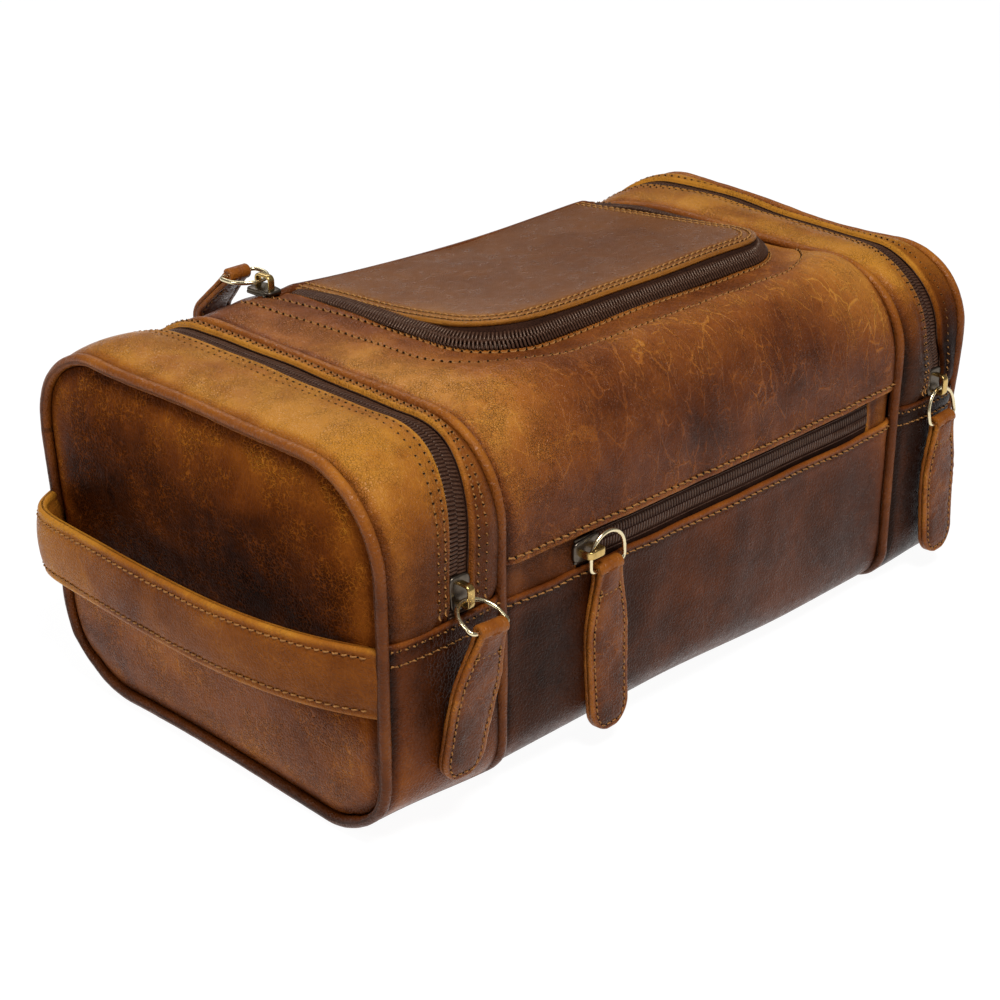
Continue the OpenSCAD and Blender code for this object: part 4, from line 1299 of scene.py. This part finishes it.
def strap_path(count=150):
    """Centre line of the strap across the left end, with the way it bows out and sags."""
    y = np.linspace(-HALF_D + 0.5, HALF_D + 0.5, count)
    t = np.where(y > 0, y / (HALF_D + 0.5), -y / (HALF_D - 4.5))
    bow = (LEFT - PIPING_R - STRAP_X) * (1 - t ** np.where(y > 0, 13.0, 2.6))
    bow = bow * (1 - 0.08 * smooth((y - 10) / 60))
    return stacked(LEFT - PIPING_R + 1.4 - bow, y, sum(STRAP_Z) / 2 + 0.4 * waves(y, 0 * y, 80, 19))


def handle():
    path = strap_path()
    out = unit(np.cross(unit(np.gradient(path, axis=0)), [0, 0, 1.0]))
    if out[len(out) // 2, 0] > 0:
        out = -out
    wide, row_in = (STRAP_Z[1] - STRAP_Z[0]) / 2, 3.0
    w = np.concatenate([-wide + LIP, np.linspace(-wide + 2.3, wide - 2.3, 19), (wide - LIP)[::-1]])
    d = wide - np.abs(w)
    height = 0.15 + 1.5 * (1 - (w / wide) ** 2) + 0.25 - 0.5 * bump(d, row_in, 0.8) + 1.0 - edge_drop(d)
    y, ww = np.meshgrid(path[:, 1], w, indexing="ij")
    height = height + 0.25 * waves(y, ww * 0.6, 22, 23) * smooth(d / 4)
    # The lighter patch at y 62 is a painted highlight on the strap's rear part; the lighter edges are rubbed.
    wear = 0.51 + 0.34 * bump(y, 62, 24) + 0.30 * bump(d, 0.3, 1.3) + 0.06 * waves(y, ww, 40, 9)
    flat = path[:, None] + ww[..., None] * [0, 0, 1.0]
    for name, face in (("outer", 1), ("inner", -1)):
        Build().sheet(flat + face * out[:, None] * height[..., None], flat + face * out[:, None] * 0.1,
                      flat_rest(y, ww, 14 * face), stacked(wear, 0.25, 0.25), flip=face > 0).piece(
            f"handle_{name}_leather", HANDLE_LEATHER, "bag", "tan_leather", [f"handle_{name}"])
    seam = Seam()
    for row in (-wide + row_in, wide - row_in):
        ripple = 0.25 * waves(path[:, 1], 0 * path[:, 1] + row * 0.6, 22, 23) * 0.75
        crown = 1.5 * (1 - (row / wide) ** 2) + 0.25 - 0.40
        line = path + np.array([0, 0, row]) + out * (1.0 + 0.15 + crown + ripple)[:, None]
        keep = np.abs(line[:, 1]) < HALF_D - 5
        seam.row(line[keep], out[keep], step=3.0, radius=0.33)
    seam.pieces("handle", body="bag")


# ---------- zip pulls ----------

RING_R, RING_LEG, RING_BEND, RING_H = 8.0, 2.5, 2.0, 12.5
WIRE_R = 0.75


def ring(name, top, down, across):
    """A D-shaped ring of round wire; top is the middle of its round side."""
    down, across = unit(down), unit(across)
    turn = np.radians(np.linspace(180, 0, 40))
    arc = np.stack([RING_R * np.cos(turn), RING_R - RING_R * np.sin(turn)], 1)
    bend = np.radians(np.linspace(0, 90, 10))
    right = np.stack([RING_R - RING_BEND + RING_BEND * np.cos(bend),
                      RING_R + RING_LEG + RING_BEND * np.sin(bend)], 1)
    flat = np.concatenate([arc, right, right[::-1] * [-1, 1]])
    path = top + flat[:, 0:1] * across + flat[:, 1:2] * down
    path = resample(np.concatenate([path, path[:1]]), 0.6)[0][:-1]
    Build().tube(path, WIRE_R, sides=12, closed=True, up=np.cross(across, down) + 0 * path).piece(
        f"{name}_pull_ring_wire", PALE_GOLD, f"{name}_pull_ring", "ring_brass", [f"{name}_ring"], soft=False)


def tab_half_width(t, length):
    """Half the tab's width at a distance t below its ring."""
    neck, wide, r = 5.6, 9.5, 9.0
    body = neck + (wide - neck) * smooth(t / (length * 0.42)) ** 0.8
    body = body - 0.5 * smooth((t - length * 0.45) / (length * 0.4))
    end = np.clip(r - (length - t), 0, r)
    return body * np.sqrt(np.clip(r ** 2 - end ** 2, 0, None)) / r


TAB_THICK = 1.75      # each of a tab's two layers
TAB_GAP = 0.06        # half the gap between them
TAB_CROSS = 9.0       # distance of the row across a tab from its ring


def tab_parting(t):
    """Half of how far a tab's layers part near the ring's bar."""
    return 0.55 * np.exp(-t / 5.0)


def tab(name, bar, centre, t, across, width=1.0):
    """A pull tab: a strip folded over the ring's bar and sewn to itself round its edge.
    Its centre line has a point for each distance t below the bar."""
    across = unit(across)
    length = t[-1]
    body = f"{name}_pull_tab"
    half = tab_half_width(t, length) * width
    lip = np.array([0, 0.012, 0.05, 0.11, 0.2, 0.3])
    share = np.concatenate([-1 + lip, np.linspace(-0.6, 0.6, 13), (1 - lip)[::-1]])
    tangent = unit(np.gradient(centre, axis=0))
    up = unit(np.cross(across, tangent))
    w, down = half[:, None] * share, t[:, None]
    d = np.minimum(half[:, None] - np.abs(w), length - down)
    crown = 0.55 * smooth(d / 6) - 0.42 * bump(d, 2.2, 0.75) - 0.4 * bump(down, TAB_CROSS, 0.8) * smooth(d / 2.4)
    wrinkle = 0.14 * waves(w * 0.8, down * 1.6, 5, 31 + len(name)) * bump(down, length * 0.5, length * 0.3)
    low = TAB_GAP + tab_parting(down) + 0 * d
    high = low + TAB_THICK + crown * 0.9 + wrinkle - edge_drop(d) * 0.85
    wear = 0.40 + 0.26 * bump(d, 0.3, 1.3) - 0.12 * bump(down, length * 0.78, 10) * smooth(d / 5)
    wear = wear + 0.08 * waves(w, down, 16, 40 + len(name)) + 0.10 * np.exp(-down / 6.0)
    looks = stacked(wear, 0.3 + 0.5 * bump(down, length * 0.45, 16), 0.2)
    base = centre[:, None] + across * w[..., None]
    build = Build()
    for face in (1, -1):
        rest = stacked(w / 10 + 20 * face + len(name), down / 10, 0.0)
        build.sheet(base + face * up[:, None] * high[..., None], base + face * up[:, None] * low[..., None],
                    rest, looks, flip=face < 0)
    loop_over_bar(build, bar, tangent[0], across, up[0], half[0])
    build.piece(f"{body}_leather", TAB, body, "tab_leather", [f"{name}_tab"], soft=False)
    seam = Seam()
    for face in (1, -1):
        t_row = np.concatenate([np.linspace(7.5, length - 5, 60), np.linspace(length - 5, length - 2.2, 14)[1:]])
        row_half = np.maximum(tab_half_width(t_row, length) * width - 2.2, 0)
        row_half[-1] = 0
        at, lift = (np.stack([np.interp(t_row, t, v) for v in vectors.T], 1) for vectors in (centre, up))
        lift = lift * face
        raised = at + lift * (TAB_GAP + TAB_THICK - 0.15 + tab_parting(t_row))[:, None]
        side = across * row_half[:, None]
        loop = np.concatenate([raised - side, (raised + side)[::-1]])
        seam.row(loop, unit(np.concatenate([lift, lift[::-1]])), step=2.6, radius=0.27, proud=0.18)
        cross = np.linspace(-1, 1, 12)[:, None] * across * (tab_half_width(TAB_CROSS, length) * width - 2.6)
        here, up_here = (np.array([np.interp(TAB_CROSS, t, v) for v in vectors.T]) for vectors in (centre, up))
        up_here = up_here * face
        line = here + cross + up_here * (TAB_GAP + TAB_THICK + 0.02)
        seam.row(line, unit(up_here) + 0 * line, step=2.4, radius=0.27, proud=0.18)
    seam.pieces(body, body=body, soft=False)


def loop_over_bar(build, bar, tangent, across, up, half):
    """The leather that turns over the ring's bar."""
    turn = np.radians(np.linspace(-12, 192, 22))
    r_in = WIRE_R + 0.15
    share = np.array([-1, -0.97, -0.88, -0.5, 0, 0.5, 0.88, 0.97, 1.0])
    soft = np.array([0.55, 0.2, 0, 0, 0, 0, 0, 0.2, 0.55])
    ray = (up * np.cos(turn)[:, None] - tangent * np.sin(turn)[:, None])[:, None]
    base = bar + across * (half * share)[:, None]
    rest = stacked(share[None] * half / 10, turn[:, None] * 0.2, 3.0)
    looks = stacked(0.60 + 0.1 * np.abs(share)[None], 0.2, 0.3 + 0 * turn[:, None])
    build.sheet(base + ray * (r_in + TAB_THICK - soft)[:, None], base + ray * r_in, rest, looks, flip=True)


def slider(name, body, centre, face, travel, across):
    """The slider's body: a shield-shaped plate with a raised rib, and the coil guides beneath it."""
    count = 56
    a = np.linspace(0, 2 * math.pi, count, endpoint=False)
    u, v = squarish(np.cos(a), 0.42), squarish(np.sin(a), 0.42)
    outline_x, outline_y = u * (4.5 - 0.9 * smooth((-v) * 0.5 + 0.5)), v * 6.0
    rings = []
    for size, height in ((0.90, 0.0), (0.97, 0.12), (1.0, 0.45), (1.0, 1.2), (0.97, 1.5), (0.90, 1.68),
                         (0.6, 1.75), (0.25, 1.78)):
        rings.append(centre + np.outer(outline_x * size, across) + np.outer(outline_y * size, travel)
                     + face * (height - 1.7))
    build = Build().add(rings, [f[::-1] for f in tube_faces(len(rings), count, flip=False)])
    for side in (-1, 1):
        rail = centre + across * (side * 3.9) - face * 1.5 + np.outer(np.linspace(-4.6, 4.6, 12), travel)
        build.tube(rail, 0.7, sides=8)
    build.piece(f"{name}_slider_body", BRONZE, body, "slider_metal", [f"{name}_slider"], soft=False)


def bridge(name, body, centre, face, travel, across):
    """The bridge that holds the ring: a flat strap bent into a low arch."""
    half, high, bend, sides = 3.6, 4.6, 1.5, 20
    turn = np.radians(np.linspace(0, 90, 8))
    a = np.stack([-half + bend - bend * np.cos(turn), high - bend + bend * np.sin(turn)], 1)
    b = np.stack([half - bend + bend * np.sin(turn), high - bend + bend * np.cos(turn)], 1)
    flat, _ = resample(np.concatenate([[[-half, -0.6]], a, b, [[half, -0.6]]]), 0.45)
    path = centre + np.outer(flat[:, 0], travel) + np.outer(flat[:, 1], face)
    lift = unit(np.cross(across, unit(np.gradient(path, axis=0))))
    angle = np.linspace(0, 2 * math.pi, sides, endpoint=False)
    swell = 1 + 0.10 * bump(flat[:, 0], 0, 2.5)[:, None]
    points = (path[:, None] + across * (squarish(np.cos(angle), 0.5) * 1.3 * swell)[..., None]
              + lift[:, None] * (squarish(np.sin(angle), 0.5) * 0.55)[None, :, None])
    Build().add(points, tube_faces(len(path), sides)).piece(
        f"{name}_bridge_arch", BRASS, body, "bridge_brass", [f"{name}_bridge"], soft=False)


def pull(name, face, travel, across, top, length, tab_line, **how):
    """A slider, its bridge, its ring and its tab, whose centre line is a function of distances."""
    low, high = box(f"{name}_slider")
    centre = middle(f"{name}_slider") + face * (np.abs(np.dot(high - low, face)) / 2)
    for part in (slider, bridge):
        part(name, f"{name}_runner", centre, face, travel, unit(np.cross(travel, face)))
    bar = joint_at(f"{name}_tab_swing")
    ring(name, top, bar - top, across)
    t = np.concatenate([np.linspace(0, length - 3, 52), length - 3 + 3 * np.sin(np.linspace(0.1, math.pi / 2, 10))])
    tab(name, bar, tab_line(t), t, across, **how)


def hanging_tab(bar, down, across):
    """A tab that hangs from its bar with a slight curl."""
    down, normal = unit(down), unit(np.cross(unit(across), unit(down)))
    return lambda t: bar + down * t[:, None] + normal * np.sin(math.pi * t / t[-1])[:, None]


def tab_over_edge(bar):
    """A tab that goes down behind the bag: slantwise at first and then straight."""
    slant, knee = 23.0, 8.0

    def line(t):
        angle = np.radians(45 + 45 * smooth((t - slant + knee / 2) / knee))
        dt = np.gradient(t)
        y = bar[1] + np.cumsum(np.cos(angle) * dt) - np.cos(angle[0]) * dt[0]
        z = bar[2] - np.cumsum(np.sin(angle) * dt) + np.sin(angle[0]) * dt[0]
        return stacked(bar[0], y, z)

    return line


def pulls():
    up, front, right = np.array([0, 0, 1.0]), np.array([0, -1.0, 0]), np.array([1.0, 0, 0])
    for name, inward, length, travel in (("left", 11, 56, up), ("right", 0, 56, up), ("pocket", 0, 61, right)):
        across = unit(-np.array(joint(f"{name}_tab_swing")["axis"]))
        hang = unit(np.cross(front, across))
        if hang[2] > 0:
            hang = -hang
        bar = joint_at(f"{name}_tab_swing")
        top = bar - hang * RING_H if name == "pocket" else joint_at(f"{name}_ring_swing")
        a = math.radians(inward)
        down = hang * math.cos(a) - front * math.sin(a)
        pull(name, front, travel, across, top, length, hanging_tab(bar, down, across))
    pull("lid", up, -front, -right, joint_at("lid_ring_swing"), 58, tab_over_edge(joint_at("lid_tab_swing")),
         width=0.82)


# ---------- inside ----------


def lining(s, x, inset, thick=0.7):
    """The two faces of cloth that follows the section, an inset inside it."""
    y, z, ny, nz = section(s)
    return [stacked(x, y - ny * depth, z - nz * depth) for depth in (inset, inset + thick)]


def linings():
    """Cloth inside the compartments, with slack ripples, and the boards and walls it covers."""
    x, s = np.meshgrid(np.linspace(LEFT_IN + 2.4, RIGHT_IN - 2.4, 90), np.linspace(0, WHOLE, 240), indexing="ij")
    outer, inner = lining(s, x, 4.4 + 0.5 * waves(x, s, 24, 51) + 0.3)
    outer[..., 2] = np.maximum(outer[..., 2], 4.6)
    inner[..., 2] = np.maximum(inner[..., 2], 5.3)
    hole = (u_distance(x, s) < 2.0) & (section(s)[0] < HINGE_Y + 2)
    Build().cut_sheet(outer, inner, flat_rest(x, s, 17.0), hole).piece(
        "main_lining_cloth", LINING, "bag", "lining", ["main_lining"])
    for side, seam_x in (("left", LEFT_IN), ("right", RIGHT_IN)):
        wall(f"{side}_divider_cloth", seam_x, 7.4, 1.0, [f"{side}_divider"], body="bag")
    for end in ENDS:
        end_lining(end)
    x, y = np.meshgrid(np.linspace(*LID_X, 60)[2:-2], np.linspace(HINGE_Y - LID_DEPTH + 3, HINGE_Y - 5, 50),
                       indexing="ij")
    outer = stacked(x, y, lid_height(x, y) - LEATHER - 0.2)
    Build().cut_sheet(outer, outer - [0, 0, 0.7], flat_rest(x, y, 19.0), lid_edge_distance(x, y) <= 1.0).piece(
        "lid_lining_cloth", LINING, "lid", "lining", ["lid_lining"])
    x, s = np.meshgrid(np.linspace(LEFT_IN + 6, RIGHT_IN - 6, 70),
                       np.linspace(s_front(16), s_front(MAIN_EDGE_Z + 3), 30), indexing="ij")
    y, z = section(s)[:2]
    sheet = stacked(x, y + 3.2 + 0.3 * waves(x, s, 30, 53), z)
    Build().sheet(sheet, sheet + [0, 0.6, 0], flat_rest(x, s, 21.0)).piece(
        "pocket_lining_cloth", LINING, "bag", "lining", ["pocket_lining"])
    frame["nodes"]["base_board"].data.materials.clear()
    frame["nodes"]["base_board"].data.materials.append(BOARD)


def wall(name, x, inset, thick, replaces, **where):
    """An upright wall of cloth across the section."""
    y, z, ny, nz = section(np.linspace(0, WHOLE, 180, endpoint=False))
    outline = np.stack([y - ny * inset, z - nz * inset], 1)
    shares = np.concatenate([np.linspace(0, 0.96, 16), [1.0]])
    medial = np.stack([middle_of(outline[:, 0], -39, 39), 0 * outline[:, 0] + 64], 1)
    points = outline[:, None] + (medial - outline)[:, None] * shares[None, :, None]
    y, z = points[..., 0], points[..., 1]
    x = x + 0.5 * waves(y, z, 34, 61) * smooth(shares * 4)[None]
    Build().sheet(stacked(x - thick / 2, y, z), stacked(x + thick / 2, y, z), flat_rest(y, z, 23.0),
                  wrap=True, met=True, flip=True).piece(name, LINING, slot="lining", replaces=replaces, **where)


def end_lining(end):
    """Cloth round the end compartment, open under the zip."""
    wall_x = end.seam_out + end.out * -2.4
    a, b = sorted((wall_x, end.zip_x + end.out * 4))
    x, s = np.meshgrid(np.linspace(a, b, 14), np.linspace(0, WHOLE, 240), indexing="ij")
    lifted = [0, 0, 1] * (2.2 * bump(section(s)[1], 0, 8))[..., None]
    outer, inner = (face + lifted for face in lining(s, x, 4.6 + 0.4 * waves(x, s, 22, 71)))
    Build().cut_sheet(outer, inner, flat_rest(x, s, 25.0), np.zeros(x.shape, bool)).piece(
        f"{end.name}_lining_strip", LINING, slot="lining", blend=end.cover,
        replaces=end.nodes("lining_lower", "lining_upper"))
    wall(f"{end.name}_lining_wall", wall_x, 5.0, 0.7, (), blend=end.cover)


# ---------- the stage ----------


def aimed(made, place, aim):
    """Puts a light or the camera in its place, turned towards a point."""
    thing = bpy.data.objects.new(made.name, made)
    thing.location = place
    thing.rotation_euler = (Vector(aim) - Vector(place)).to_track_quat("-Z", "Y").to_euler()
    bpy.context.scene.collection.objects.link(thing)
    return thing


def stage():
    """A pale floor, soft studio lights, and the camera at the reference angle."""
    scene = bpy.context.scene
    mesh = bpy.data.meshes.new("floor")
    mesh.from_pydata([(-9, -9, 0), (9, -9, 0), (9, 9, 0), (-9, 9, 0)], [], [(0, 1, 2, 3)])
    floor = bpy.data.objects.new("floor", mesh)
    scene.collection.objects.link(floor)
    paint = bpy.data.materials.new("floor")
    paint.use_nodes = True
    shader = paint.node_tree.nodes["Principled BSDF"]
    for name, value in (("Base Color", (0.12, 0.12, 0.12, 1)), ("Roughness", 0.9), ("Emission Color", (1, 1, 1, 1)),
                        ("Emission Strength", 0.95), ("Specular IOR Level", 0.0)):
        shader.inputs[name].default_value = value
    mesh.materials.append(paint)

    world = bpy.data.worlds.new("studio")
    world.use_nodes = True
    background = world.node_tree.nodes["Background"]
    background.inputs["Color"].default_value = (1, 1, 1, 1)
    background.inputs["Strength"].default_value = 0.16
    scene.world = world

    for name, place, size, power in (
        ("key", (-0.25, -0.60, 1.25), 0.45, 14.0),
        ("left", (-1.2, 0.30, 0.85), 0.40, 4.5),
        ("back", (0.5, 1.0, 1.1), 0.80, 4.0),
    ):
        light = bpy.data.lights.new(name, "AREA")
        light.shape, light.size, light.energy = "DISK", size, power
        aimed(light, place, (0, 0, 0.06))

    camera = bpy.data.cameras.new("camera")
    camera.lens, camera.sensor_width, camera.clip_start = 77.2, 36, 0.01
    scene.camera = aimed(camera, (-0.5216, -0.4996, 0.3799), (-0.01526, 0, 0.04979))
    scene.view_settings.view_transform = "Standard"


def build_all():
    stage()
    main_top_panel()
    main_panels()
    for end in ENDS:
        for inner_side in (True, False):
            strip(end, inner_side)
        gusset(end)
        end_panel(end)
        end_zip(end)
        gusset_threads(end)
    for end in ENDS:
        piping(f"{end.name}_inner_piping", end.seam_in, end.nodes("inner_piping"), body="bag")
    for end in ENDS:
        piping(f"{end.name}_outer_piping", end.seam_out, end.nodes("outer_piping_lower", "outer_piping_upper"),
               blend=end.cover)
    for part in (pocket_zip, main_threads, lid, lid_zip, lid_welt, handle, pulls, linings):
        part()
build_all()
